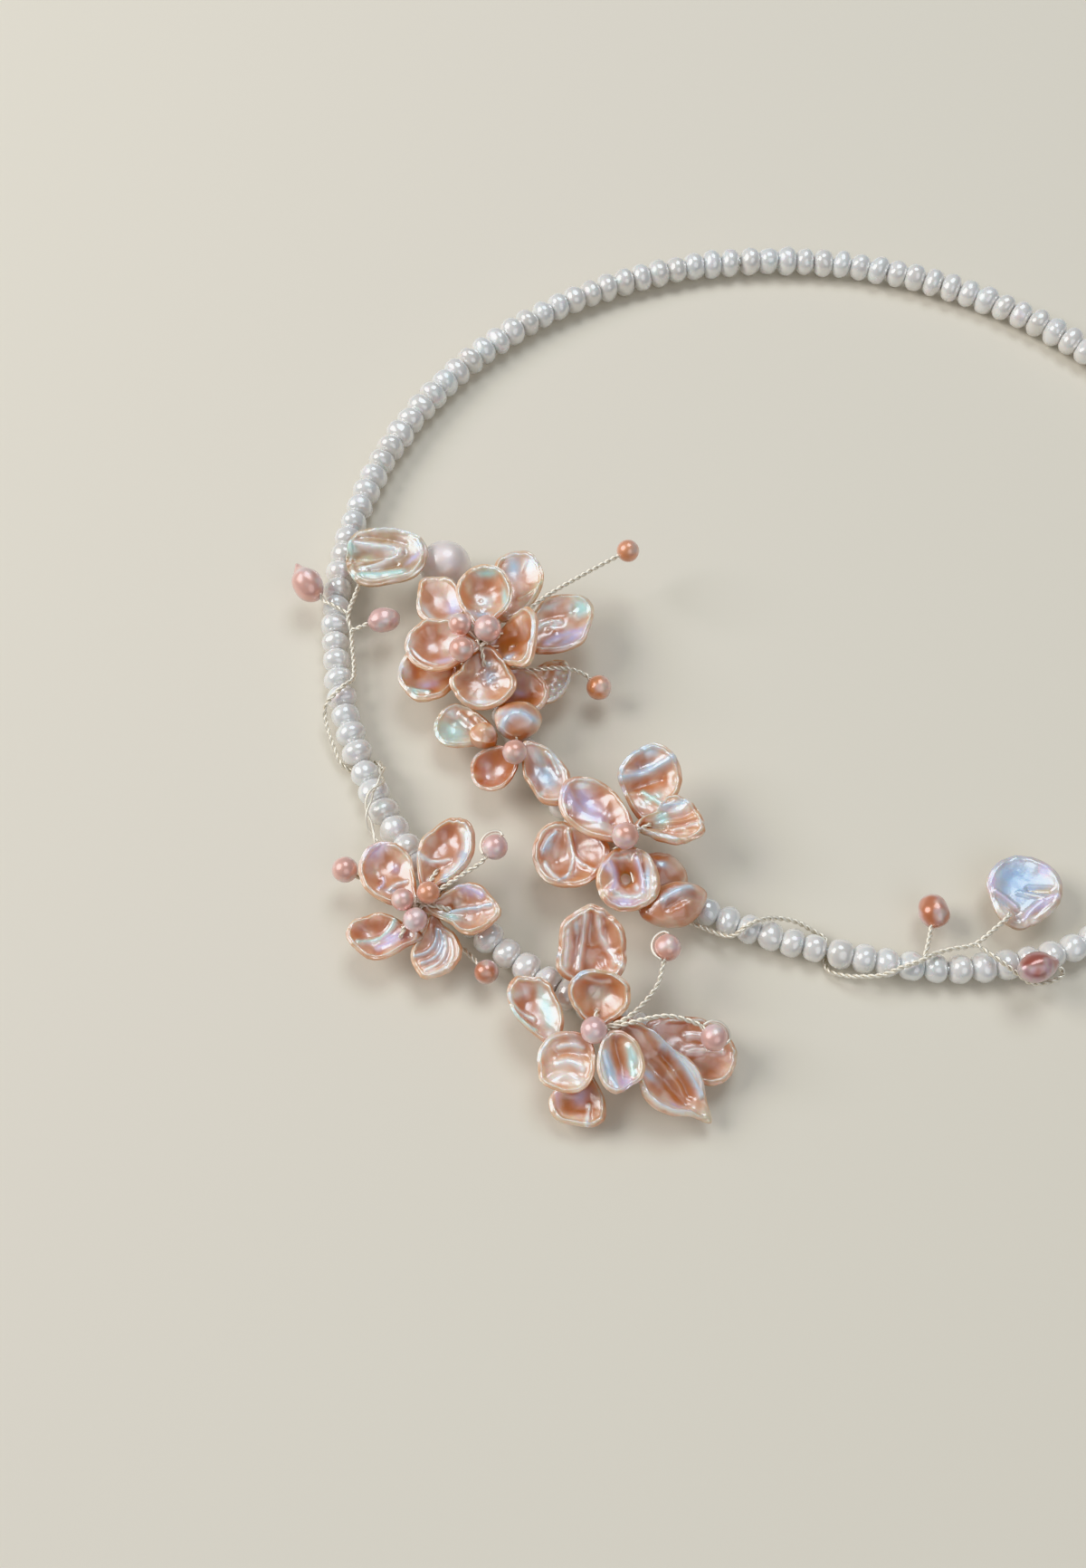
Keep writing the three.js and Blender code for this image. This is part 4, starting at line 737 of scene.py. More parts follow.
class ChokerPetals(bpy.types.PropertyGroup):
    """Sizes and colours of the petal pearls and the leaf pearls."""
    dish_rings: IntProperty(name="Dish rings", description="Rings of faces from the dish's middle to the edge",
                            default=34, min=6, max=60)
    back_rings: IntProperty(name="Back rings", description="Rings of faces on the back", default=10, min=3, max=30)
    sectors: IntProperty(name="Sectors", description="Faces round the petal", default=108, min=12, max=200)
    lip_height: share_property("Lip", "How much of each petal's raised rim is made", 1.0, 0, 2)
    wrinkle_height: share_property("Wrinkles", "How much of each petal's wrinkles is made", 1.0, 0, 3)
    body: colour_property("Body", "Colour of the palest petals", (0.91, 0.54, 0.30))
    # Deep is the darker tone of some petals, and also painted shade in dishes, creases, near the roots and on the
    # backs.
    deep_and_shade: colour_property("Deep", "Colour of dishes and creases", (0.58, 0.19, 0.045))
    # Rim is a highlight painted along the crest of each raised lip.
    rim: colour_property("Rim", "Colour along the raised rims", (0.90, 0.82, 0.79))
    leaf_body: colour_property("Leaf body", "Colour of the palest leaves", (0.78, 0.56, 0.38))
    # The leaves' darker colour below is likewise their own darker tone and painted shade.
    leaf_deep_and_shade: colour_property("Leaf deep", "Colour of the leaves' dishes and creases", (0.46, 0.26, 0.11))
    # Leaf rim is likewise a highlight painted along the leaves' crests.
    leaf_rim: colour_property("Leaf rim", "Colour along the leaves' raised rims", (0.90, 0.83, 0.76))


class ChokerPearls(bpy.types.PropertyGroup):
    """Colours of the small pearls in the flowers and on the vines."""
    pale: colour_property("Pale", "Colour of the pearls with no tone", (0.84, 0.56, 0.55))
    warm: colour_property("Warm", "Colour of the pearls at half tone", (0.82, 0.33, 0.14))
    dark: colour_property("Dark", "Colour of the pearls at full tone", (0.40, 0.10, 0.06))
    # Edge is a sheen painted into the pearls' colour at grazing angles.
    edge: colour_property("Edge", "Colour that the pearls take at grazing angles", (0.86, 0.68, 0.71))


class ChokerWires(bpy.types.PropertyGroup):
    """Sizes and colour of the thin wires."""
    thread: length_property("Thread", "Radius of one thin wire", 0.165)
    turn: length_property("Turn", "Length of one turn of a twisted pair", 1.9, least=0.1)
    loose_spread: length_property("Loose spread", "How far a loose pair's threads stand from its middle", 0.32)
    loose_turn: length_property("Loose turn", "Length of one turn of a loosely twisted pair", 6.4, least=0.1)
    colour: colour_property("Colour", "Colour of the thin wires", (0.98, 0.92, 0.80))


class ChokerStage(bpy.types.PropertyGroup):
    """The floor and the lights."""
    floor: colour_property("Floor", "Colour of the floor", (0.66, 0.615, 0.53))
    key: power_property("Key", "Power of the main soft light", 5.8)
    top: power_property("Top", "Power of the light from above and behind", 3.1)
    fill: power_property("Fill", "Power of the wide soft light", 1.2)
    sky: FloatProperty(name="Sky", description="Strength of the even light from all round", default=0.28, min=0)


class ChokerSettings(bpy.types.PropertyGroup):
    """All that a user of the choker would change."""
    strand: PointerProperty(type=ChokerStrand)
    petals: PointerProperty(type=ChokerPetals)
    pearls: PointerProperty(type=ChokerPearls)
    wires: PointerProperty(type=ChokerWires)
    stage: PointerProperty(type=ChokerStage)


# ---- Objects and meshes ----
def new_object(name, data):
    made = bpy.data.objects.new(name, data)
    bpy.context.scene.collection.objects.link(made)
    return made


def plain_mesh(name, corners, faces, material):
    mesh = bpy.data.meshes.new(name)
    mesh.from_pydata([tuple(c) for c in corners], [], faces)
    mesh.materials.append(material)
    mesh.shade_smooth()
    return mesh


def settle(piece, nodes):
    """The piece rides on the choker's one body and stands for its nodes."""
    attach(piece, BODY)
    if nodes:
        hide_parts(*nodes)


def hold(mesh, name, kind, values):
    """Stores a value for each of the mesh's points under a name."""
    field = {"FLOAT": "value", "FLOAT_VECTOR": "vector", "FLOAT_COLOR": "color"}[kind]
    attribute = mesh.attributes.new(name, kind, "POINT")
    attribute.data.foreach_set(field, np.array(values, np.float32).ravel())


def smooth_line(points, per_span=8):
    """A smooth line through the points, as closely spaced points."""
    points = [Vector(p) for p in points]
    ends = [points[0] * 2 - points[1], *points, points[-1] * 2 - points[-2]]
    spans = zip(ends, ends[1:], ends[2:], ends[3:])
    line = [through(*four, k / per_span) for four in spans for k in range(per_span)]
    return [*line, points[-1]]


def curve_object(name, lines):
    """One curve object with a plain spline through each line's points."""
    curve = bpy.data.curves.new(name, "CURVE")
    curve.dimensions = "3D"
    for line in lines:
        spline = curve.splines.new("POLY")
        spline.points.add(len(line) - 1)
        spline.points.foreach_set("co", [c for p in line for c in (*p, 1.0)])
    return new_object(name, curve)


def set_inputs(modifier, values):
    """Sets a geometry tree's named inputs on its modifier, by the sockets' own identifiers."""
    for item in modifier.node_group.interface.items_tree:
        if item.item_type == "SOCKET" and item.in_out == "INPUT" and item.name in values:
            modifier[item.identifier] = values[item.name]


def grown(name, source, tree, values):
    """A plain mesh object from what a geometry tree makes of the source, which is then removed."""
    modifier = source.modifiers.new(tree.name, "NODES")
    modifier.node_group = tree
    set_inputs(modifier, values)
    graph = bpy.context.evaluated_depsgraph_get()
    mesh = bpy.data.meshes.new_from_object(source.evaluated_get(graph), preserve_all_data_layers=True,
                                           depsgraph=graph)
    mesh.name = name
    mesh.materials.clear()
    mesh.materials.append(values["Material"])
    mesh.polygons.foreach_set("material_index", [0] * len(mesh.polygons))
    bpy.data.objects.remove(source)
    return new_object(name, mesh)


# ---- Node trees ----
def feed(tree, entry, value):
    """Gives an input another node's output, or a plain value."""
    if isinstance(value, bpy.types.NodeSocket):
        tree.links.new(value, entry)
    else:
        entry.default_value = value


def node(tree, kind, inputs=(), **settings):
    """A new node with its settings, whose inputs are values or other nodes' outputs."""
    made = tree.nodes.new(kind)
    for key, value in settings.items():
        setattr(made, key, value)
    for key, value in dict(inputs).items():
        feed(tree, made.inputs[key], value)
    return made


def maths(tree, operation, a, b=0.0, c=0.0):
    return node(tree, "ShaderNodeMath", {0: a, 1: b, 2: c}, operation=operation).outputs[0]


def vector_maths(tree, operation, a, b=(0, 0, 0)):
    return node(tree, "ShaderNodeVectorMath", {0: a, 1: b}, operation=operation).outputs["Vector"]


def scaled(tree, vector, scale):
    return node(tree, "ShaderNodeVectorMath", {0: vector, "Scale": scale}, operation="SCALE").outputs["Vector"]


def new_tree(name, kind, inputs, outputs):
    """A node tree and what its inputs give. Each socket is named with its kind, or with a number as its value."""
    tree = bpy.data.node_groups.new(name, kind)
    for way, sockets in (("INPUT", inputs), ("OUTPUT", outputs)):
        for label, given in sockets.items():
            number = {int: "Int", float: "Float"}.get(type(given))
            made = tree.interface.new_socket(label, in_out=way, socket_type="NodeSocket" + (number or given))
            if number:
                made.default_value = given
    return tree, node(tree, "NodeGroupInput").outputs


def shared_tree(name, make):
    """The tree of that name, made when it is first asked for."""
    return bpy.data.node_groups.get(name) or make()


def held(tree, name, kind="FLOAT"):
    """What each point holds under a name."""
    return node(tree, "GeometryNodeInputNamedAttribute", {"Name": name}, data_type=kind).outputs[0]


def random_number(tree, high, seed):
    """A random number from 0 for each point."""
    made = node(tree, "FunctionNodeRandomValue", {2: 0.0, 3: high, "Seed": seed}, data_type="FLOAT")
    return made.outputs[1]


def random_vector(tree, low, high, seed):
    """A random vector for each point."""
    made = node(tree, "FunctionNodeRandomValue", {0: low, 1: high, "Seed": seed}, data_type="FLOAT_VECTOR")
    return made.outputs[0]


def then_turned(tree, rotation, by):
    """A rotation with a second one after it, about its own axes."""
    made = node(tree, "FunctionNodeRotateRotation", {"Rotation": rotation, "Rotate By": by},
                rotation_space="LOCAL")
    return made.outputs[0]


def finish_tree(tree, geometry, material):
    """Ends a geometry tree, whose geometry takes the material."""
    done = node(tree, "GeometryNodeSetMaterial", {"Geometry": geometry, "Material": material})
    node(tree, "NodeGroupOutput", {"Mesh": done.outputs[0]})
    return tree


PEARL_SEGMENTS, PEARL_RINGS = 26, 14
PEARL_BARREL = 0.17     # how much fuller than a ball a pearl is towards its ends
PEARL_LEAN = 0.16       # radians off the wire, at most
PEARL_LEAST, PEARL_MOST = (0.92, 0.88, 0.96), (1.02, 1.0, 1.1)  # shares of its size, along the wire last
LUMP_MIDDLE = 0.56      # the noise at which a pearl neither swells nor shrinks
TONE_SHIFT = (0.31, 0.17, 0.53)  # how far a pearl's own tone moves it through the noise


def threaded_pearls_tree():
    """Pearls on points that hold each pearl's axis and its half width and half length, all a little uneven."""
    tree, given = new_tree("Threaded pearls", "GeometryNodeTree",
                           {"Points": "Geometry", "Fill": 1.0, "Lumps": 0.2 * MM, "Lump size": 2.0 * MM, "Seed": 1,
                            "Material": "Material"}, {"Mesh": "Geometry"})
    sphere = node(tree, "GeometryNodeMeshUVSphere",
                  {"Segments": PEARL_SEGMENTS, "Rings": PEARL_RINGS, "Radius": 1.0}).outputs["Mesh"]
    place = node(tree, "GeometryNodeInputPosition").outputs[0]
    x, y, z = node(tree, "ShaderNodeSeparateXYZ", {0: place}).outputs
    fuller = maths(tree, "MULTIPLY_ADD", maths(tree, "MULTIPLY", z, z), -PEARL_BARREL, 1 + PEARL_BARREL)
    full = node(tree, "ShaderNodeCombineXYZ", {"X": x, "Y": y, "Z": maths(tree, "MULTIPLY", z, fuller)})
    ball = node(tree, "GeometryNodeSetPosition", {"Geometry": sphere, "Position": full.outputs[0]}).outputs[0]

    def seed(step):
        return maths(tree, "ADD", given["Seed"], step)

    aligned = node(tree, "FunctionNodeAlignRotationToVector", {"Vector": held(tree, "axis", "FLOAT_VECTOR")},
                   axis="Z").outputs[0]
    spin = node(tree, "FunctionNodeAxisAngleToRotation",
                {"Axis": (0, 0, 1), "Angle": random_number(tree, math.tau, given["Seed"])}).outputs[0]
    leaning = random_vector(tree, (-PEARL_LEAN, -PEARL_LEAN, 0), (PEARL_LEAN, PEARL_LEAN, 0), seed(31))
    lean = node(tree, "FunctionNodeEulerToRotation", {0: leaning}).outputs[0]
    long = maths(tree, "MULTIPLY", held(tree, "half_length"), given["Fill"])
    wide = held(tree, "half_width")
    size = node(tree, "ShaderNodeCombineXYZ", {"X": wide, "Y": wide, "Z": long}).outputs[0]
    scale = vector_maths(tree, "MULTIPLY", random_vector(tree, PEARL_LEAST, PEARL_MOST, seed(7)), size)
    placed = node(tree, "GeometryNodeInstanceOnPoints",
                  {"Points": given["Points"], "Instance": ball, "Scale": scale,
                   "Rotation": then_turned(tree, then_turned(tree, aligned, spin), lean)}).outputs[0]
    toned = node(tree, "GeometryNodeStoreNamedAttribute",
                 {"Geometry": placed, "Name": "tone", "Value": random_number(tree, 1.0, seed(19))},
                 data_type="FLOAT", domain="INSTANCE").outputs[0]
    real = node(tree, "GeometryNodeRealizeInstances", {"Geometry": toned}).outputs[0]

    shifted = vector_maths(tree, "ADD", place, scaled(tree, TONE_SHIFT, held(tree, "tone")))
    spacing = maths(tree, "DIVIDE", 1.0, given["Lump size"])
    bumps = node(tree, "ShaderNodeTexNoise",
                 {"Vector": shifted, "Scale": spacing, "Detail": 1.5, "Roughness": 0.45}).outputs[0]
    swell = maths(tree, "MULTIPLY", maths(tree, "SUBTRACT", bumps, LUMP_MIDDLE), given["Lumps"])
    outwards = node(tree, "GeometryNodeInputNormal").outputs[0]
    offset = scaled(tree, outwards, maths(tree, "MULTIPLY", swell, 2.0))
    moved = node(tree, "GeometryNodeSetPosition", {"Geometry": real, "Offset": offset}).outputs[0]
    smooth = node(tree, "GeometryNodeSetShadeSmooth", {"Geometry": moved}).outputs[0]
    return finish_tree(tree, smooth, given["Material"])


NOT_ALONG_WIRES = (0.13, 0.21, 1.0)  # a direction that no wire takes


def wire_tree(name, threads):
    """Wire along a curve's splines: one plain thread, or several wound round each other."""
    tree, given = new_tree(name, "GeometryNodeTree",
                           {"Curve": "Geometry", "Thread radius": 0.13 * MM, "Spread": 0.13 * MM,
                            "Turn length": 1.5 * MM, "Step": 0.2 * MM, "Material": "Material"},
                           {"Mesh": "Geometry"})
    resampled = node(tree, "GeometryNodeResampleCurve", {"Curve": given["Curve"], "Length": given["Step"]},
                     mode="LENGTH").outputs[0]
    section = node(tree, "GeometryNodeCurvePrimitiveCircle", {"Resolution": 8, "Radius": given["Thread radius"]})
    joined = node(tree, "GeometryNodeJoinGeometry")
    along = node(tree, "GeometryNodeSplineParameter").outputs["Length"]
    ahead = node(tree, "GeometryNodeInputTangent").outputs[0]
    upright = vector_maths(tree, "NORMALIZE", vector_maths(tree, "CROSS_PRODUCT", ahead, NOT_ALONG_WIRES))
    sideways = vector_maths(tree, "CROSS_PRODUCT", ahead, upright)
    around = maths(tree, "MULTIPLY", maths(tree, "DIVIDE", along, given["Turn length"]), math.tau)
    for k in range(threads):
        line = resampled
        if threads > 1:
            angle = maths(tree, "ADD", around, k * math.tau / threads)
            up, aside = [scaled(tree, way, maths(tree, "MULTIPLY", maths(tree, wave, angle), given["Spread"]))
                         for way, wave in ((upright, "COSINE"), (sideways, "SINE"))]
            line = node(tree, "GeometryNodeSetPosition",
                        {"Geometry": resampled, "Offset": vector_maths(tree, "ADD", up, aside)}).outputs[0]
        tube = node(tree, "GeometryNodeCurveToMesh",
                    {"Curve": line, "Profile Curve": section.outputs[0], "Fill Caps": True})
        tree.links.new(tube.outputs[0], joined.inputs[0])
    smooth = node(tree, "GeometryNodeSetShadeSmooth", {"Geometry": joined.outputs[0]}).outputs[0]
    real = node(tree, "GeometryNodeRealizeInstances", {"Geometry": smooth}).outputs[0]
    return finish_tree(tree, real, given["Material"])


def plain_wire():
    return shared_tree("Plain wire", lambda: wire_tree("Plain wire", 1))


def twisted_wire():
    return shared_tree("Twisted wire", lambda: wire_tree("Twisted wire", 2))


# ---- Finishes ----
STEEL = (0.72, 0.72, 0.70)
DULLED = 0.82  # how much of a wire's colour is left where it is dull
SKIN_LINE = 0.5  # mm
ELSEWHERE = (0.37, 0.11, 0.73)  # from the noise of the clouds' colours to the noise of their cover
# Where each colour of the nacre's clouds lies in their noise.
CLOUD_COLOURS = [(0.30, (0.98, 0.72, 0.70)), (0.42, (0.90, 0.80, 0.95)), (0.50, (0.95, 0.93, 0.90)),
                 (0.58, (0.74, 0.94, 0.90)), (0.70, (0.78, 0.86, 0.98))]


def orient_group():
    """The shifting colours of nacre: soft clouds of rose, lilac, cream, mint and ice, and where they show."""
    tree, given = new_tree("Nacre orient", "ShaderNodeTree",
                           {"Vector": "Vector", "Cloud size": 2.0 * MM, "Cover": 0.5},
                           {"Colour": "Color", "Mask": "Float"})
    spacing = maths(tree, "DIVIDE", 1.0, given["Cloud size"])
    clouds = node(tree, "ShaderNodeTexNoise",
                  {"Vector": given["Vector"], "Scale": spacing, "Detail": 2.0, "Distortion": 0.6})
    ramp = node(tree, "ShaderNodeValToRGB", {0: clouds.outputs[0]})
    while len(ramp.color_ramp.elements) < len(CLOUD_COLOURS):
        ramp.color_ramp.elements.new(0.5)
    for element, (position, colour) in zip(ramp.color_ramp.elements, CLOUD_COLOURS):
        element.position = position
        element.color = (*colour, 1)
    elsewhere = vector_maths(tree, "ADD", given["Vector"], ELSEWHERE)
    patches = node(tree, "ShaderNodeTexNoise",
                   {"Vector": elsewhere, "Scale": maths(tree, "MULTIPLY", spacing, 0.7), "Detail": 1.0})
    edge = maths(tree, "SUBTRACT", 0.85, maths(tree, "MULTIPLY", given["Cover"], 0.7))
    mask = node(tree, "ShaderNodeMapRange", {"Value": patches.outputs[0], "From Min": edge,
                                             "From Max": maths(tree, "ADD", edge, 0.25)},
                interpolation_type="SMOOTHSTEP")
    node(tree, "NodeGroupOutput", {"Colour": ramp.outputs[0], "Mask": mask.outputs[0]})
    return tree


def skin_group():
    """The fine skin of a pearl: shallow growth lines and pits, as a height."""
    tree, given = new_tree("Pearl skin", "ShaderNodeTree",
                           {"Vector": "Vector", "Line size": 0.4 * MM, "Warp": 1.0}, {"Height": "Float"})
    spacing = maths(tree, "DIVIDE", 1.0, given["Line size"])
    lines = node(tree, "ShaderNodeTexNoise",
                 {"Vector": given["Vector"], "Scale": spacing, "Detail": 2.5, "Distortion": given["Warp"]})
    broad = node(tree, "ShaderNodeTexNoise",
                 {"Vector": given["Vector"], "Scale": maths(tree, "MULTIPLY", spacing, 0.28), "Detail": 1.0})
    height = maths(tree, "ADD", maths(tree, "MULTIPLY", lines.outputs[0], 0.35), broad.outputs[0])
    node(tree, "NodeGroupOutput", {"Height": height})
    return tree


def object_place(tree):
    """The place on the piece, which at the origin is the place in the scene."""
    return node(tree, "ShaderNodeTexCoord").outputs["Object"]


def nacre_clouds(tree, size, cover):
    """The shifting colours, in clouds of a size in mm."""
    return node(tree, "ShaderNodeGroup", {"Vector": object_place(tree), "Cloud size": size * MM, "Cover": cover},
                node_tree=shared_tree("Nacre orient", orient_group)).outputs


def skin_normal(tree, warp, strength, depth):
    """The normal of a pearl's fine skin, with a depth in mm."""
    skin = node(tree, "ShaderNodeGroup", {"Vector": object_place(tree), "Line size": SKIN_LINE * MM, "Warp": warp},
                node_tree=shared_tree("Pearl skin", skin_group)).outputs["Height"]
    return node(tree, "ShaderNodeBump", {"Height": skin, "Strength": strength, "Distance": depth * MM}).outputs[0]


def ranged(tree, value, low, high):
    """From low to high as the value goes from 0 to 1."""
    return node(tree, "ShaderNodeMapRange", {"Value": value, "To Min": low, "To Max": high}).outputs[0]


def mix(tree, share, a, b):
    """The colour a with a share of the colour b."""
    made = node(tree, "ShaderNodeMix", {0: share}, data_type="RGBA")
    for index, colour in ((6, a), (7, b)):
        plain = not isinstance(colour, bpy.types.NodeSocket) and len(colour) == 3
        feed(tree, made.inputs[index], (*colour, 1) if plain else colour)
    return made.outputs[2]


def new_material(name):
    """A new material with its tree and its shader."""
    material = bpy.data.materials.new(name)
    material.use_nodes = True
    tree = material.node_tree
    return material, tree, next(n for n in tree.nodes if n.type == "BSDF_PRINCIPLED")


def set_shader(tree, shader, values):
    """Gives a shader's named inputs their values or other nodes' outputs."""
    for name, value in values.items():
        feed(tree, shader.inputs[name], value)


def nacre(name, body, edge, orient, cover, roughness, metallic, cloud=1.6, skin=0.3, toned=None):
    """A pearl's finish. body is its colour, edge the colour of a sheen painted in at grazing angles. orient is how
    much of the shifting colours shows, in clouds of cloud mm over a share cover of it, and skin how rough the skin
    looks.
    toned gives the colours that pearls with a tone of their own take at half tone and at full tone."""
    material, tree, shader = new_material(name)
    colour = (*body, 1)
    if toned:
        tone = node(tree, "ShaderNodeAttribute", attribute_name="tone").outputs["Fac"]
        colour = mix(tree, maths(tree, "MULTIPLY", tone, 2.0), body, toned[0])
        colour = mix(tree, maths(tree, "MULTIPLY_ADD", tone, 2.0, -1.0), colour, toned[1])
    clouds = nacre_clouds(tree, cloud, cover)
    colour = mix(tree, maths(tree, "MULTIPLY", clouds["Mask"], orient), colour, clouds["Colour"])
    # Painted sheen: the colour turns to the edge colour at grazing angles.
    facing = node(tree, "ShaderNodeLayerWeight", {"Blend": 0.35}).outputs["Facing"]
    colour = mix(tree, maths(tree, "MULTIPLY", maths(tree, "POWER", facing, 1.5), 0.7), colour, edge)
    set_shader(tree, shader, {
        "Base Color": colour, "Metallic": metallic, "IOR": 1.7, "Normal": skin_normal(tree, 0.8, skin, 0.06),
        "Roughness": ranged(tree, clouds["Mask"], roughness, roughness + 0.12),
        "Specular IOR Level": 0.8, "Specular Tint": (0.88, 0.95, 1.0, 1),
        "Coat Weight": 1.0, "Coat Roughness": 0.09,
        "Subsurface Weight": 0.1, "Subsurface Radius": (1.0, 0.55, 0.35), "Subsurface Scale": 1.0 * MM})
    return material


# How much of the darker colour a petal takes from its tone and the clouds, and how much painted shade it takes from
# its dish's depth and from its outer edge and back.
SHADE_FROM_DEPTH, DEEP_FROM_TONE, DEEP_AT_LEAST, DEEP_FROM_CLOUDS, SHADE_FROM_FRINGE = 0.7, 0.9, -0.22, -0.35, 0.12
# How much of their colours the clouds, the highlight painted along the crest and the painted gleams lay over that.
CLOUD_SHOWS, RIM_HIGHLIGHT_SHOWS, GLEAM_SHOWS = 0.26, 0.65, 0.9


def petal_nacre(name, body, deep_and_shade, rim):
    """The petals' finish. It reads what each petal's mesh holds: its crest, along which a highlight is painted, its
    depth and its outer edge and back, where shade is painted, its tone, and its gleams, which are painted
    highlights and reflections."""
    material, tree, shader = new_material(name)
    shape = node(tree, "ShaderNodeAttribute", attribute_name="shape")
    crest, depth, tone = node(tree, "ShaderNodeSeparateColor", {0: shape.outputs["Color"]}).outputs
    # Painted shade on the outer edge and the back.
    fringe_shade = maths(tree, "MULTIPLY", shape.outputs["Alpha"], SHADE_FROM_FRINGE)
    gleam = node(tree, "ShaderNodeAttribute", attribute_name="gleam").outputs
    strong = gleam["Alpha"]
    clouds = nacre_clouds(tree, 2.0, 0.6)
    # Painted shade: the darker colour grows with the dish's depth, on top of the petal's own tone and the clouds.
    share = maths(tree, "MULTIPLY_ADD", tone, DEEP_FROM_TONE, DEEP_AT_LEAST)
    share = maths(tree, "MULTIPLY_ADD", depth, SHADE_FROM_DEPTH, share)
    share = maths(tree, "MULTIPLY_ADD", clouds["Mask"], DEEP_FROM_CLOUDS, share)
    share = node(tree, "ShaderNodeClamp", {0: maths(tree, "MAXIMUM", share, fringe_shade)}).outputs[0]
    colour = mix(tree, share, body, deep_and_shade)
    colour = mix(tree, maths(tree, "MULTIPLY", clouds["Mask"], CLOUD_SHOWS), colour, clouds["Colour"])
    # Highlight painted along the crest, then the painted highlights and reflections of the gleams.
    colour = mix(tree, maths(tree, "MULTIPLY", crest, RIM_HIGHLIGHT_SHOWS), colour, rim)
    colour = mix(tree, maths(tree, "MULTIPLY", strong, GLEAM_SHOWS), colour, gleam["Color"])
    set_shader(tree, shader, {
        "Base Color": colour, "Metallic": maths(tree, "MULTIPLY_ADD", tone, -0.08, 0.11), "IOR": 2.1,
        "Normal": skin_normal(tree, 1.2, 0.5, 0.10), "Roughness": ranged(tree, strong, 0.34, 0.28),
        "Specular IOR Level": 0.95, "Specular Tint": (0.76, 0.91, 1.0, 1), "Coat Roughness": 0.07,
        "Coat Weight": maths(tree, "MULTIPLY_ADD", maths(tree, "MAXIMUM", strong, crest), 0.7, 0.3),
        "Subsurface Weight": 0.6, "Subsurface Radius": (1.0, 0.55, 0.3), "Subsurface Scale": 2.2 * MM})
    return material


def wire_metal(name, colour, metallic):
    """Bright drawn wire, a little duller in places."""
    material, tree, shader = new_material(name)
    dulled = node(tree, "ShaderNodeTexNoise",
                  {"Vector": object_place(tree), "Scale": 900.0, "Detail": 2.0}).outputs[0]
    darker = tuple(c * DULLED for c in colour)
    set_shader(tree, shader, {"Base Color": mix(tree, dulled, colour, darker), "Metallic": metallic,
                              "Roughness": ranged(tree, dulled, 0.28, 0.43)})
    return material


def material_named(name):
    """A finish by its name, made when it is first asked for."""
    found = bpy.data.materials.get(name)
    if found:
        return found
    settings = bpy.context.scene.choker
    strand, petals, pearls = settings.strand, settings.petals, settings.pearls
    makers = {
        "white_nacre": lambda: nacre(
            name, strand.colour, (0.92, 0.92, 0.92), orient=0.4, cover=0.5, roughness=0.2, metallic=0.2,
            toned=((0.85, 0.82, 0.79), (0.80, 0.76, 0.71))),
        "end_nacre": lambda: nacre(
            name, strand.end_colour, (0.94, 0.89, 0.90), orient=0.4, cover=0.6, roughness=0.38, metallic=0.2,
            cloud=4.0, skin=0.15),
        "pink_nacre": lambda: nacre(
            name, pearls.pale, pearls.edge, orient=0.45, cover=0.6, roughness=0.28, metallic=0.27,
            cloud=1.5, skin=0.1, toned=(pearls.warm, pearls.dark)),
        "petal_nacre": lambda: petal_nacre(name, petals.body, petals.deep_and_shade, petals.rim),
        "leaf_nacre": lambda: petal_nacre(name, petals.leaf_body, petals.leaf_deep_and_shade, petals.leaf_rim),
        "champagne_metal": lambda: wire_metal(name, settings.wires.colour, 0.6),
        "stiff_metal": lambda: wire_metal(name, STEEL, 1.0),
    }
    return makers[name]()


# ---- Strand ----
STRAND_SAMPLES, CORE_SAMPLES = 3000, 500
SHORT_STEP = 0.3        # mm along the wire, over which its direction is taken
END_PEARL_GAP = 0.3     # mm between the strand's last pearl and the end pearl
CORE_INSIDE = 0.5, 1.0  # degrees that the stiff wire stays short of the first and the last stop
CORE_STEP = 0.8 * MM


def strand_points(pitch):
    """Each strand pearl's place, direction along the wire, half width and half length. pitch is in mm."""
    bearings = np.linspace(STOPS[0][0], STOPS[-1][0], STRAND_SAMPLES)
    line = np.array([strand_point(b) for b in bearings])
    run = np.concatenate([[0], np.cumsum(np.linalg.norm(np.diff(line, axis=0), axis=1))]) / MM

    def on_wire(at):
        return np.array([np.interp(at, run, line[:, i]) for i in range(3)])

    places, axes, widths, lengths = [], [], [], []
    for (start, start_gap), (end, end_gap) in zip(STOPS, STOPS[1:]):
        first = float(np.interp(-start, -bearings, run)) + start_gap / 2
        last = float(np.interp(-end, -bearings, run)) - end_gap / 2
        if end == STOPS[-1][0]:
            last -= END_PEARL_RADIUS + END_PEARL_GAP
        count = max(1, round((last - first) / pitch))
        for k in range(count):
            at = first + (k + 0.5) * (last - first) / count
            places.append(on_wire(at))
            axes.append(Vector(on_wire(at + SHORT_STEP) - on_wire(at - SHORT_STEP)).normalized())
            widths.append(between(PEARL, float(np.interp(at, run, bearings))) / 2 * MM)
            lengths.append((last - first) / count / 2 * MM)
    return places, axes, widths, lengths


def build_strand(settings):
    """The strand's pearls as one piece, which stands for all the strand's stretches."""
    strand = settings.strand
    places, axes, widths, lengths = strand_points(strand.pitch / MM)
    mesh = bpy.data.meshes.new("strand_points")
    mesh.from_pydata([tuple(p) for p in places], [], [])
    hold(mesh, "axis", "FLOAT_VECTOR", axes)
    hold(mesh, "half_width", "FLOAT", widths)
    hold(mesh, "half_length", "FLOAT", lengths)
    tree = shared_tree("Threaded pearls", threaded_pearls_tree)
    piece = grown("strand_pearls", new_object("strand_points", mesh), tree, {
        "Fill": strand.fill, "Lumps": strand.lumps, "Lump size": strand.lump_size, "Seed": strand.seed,
        "Material": material_named("white_nacre")})
    settle(piece, STRAND_NODES)


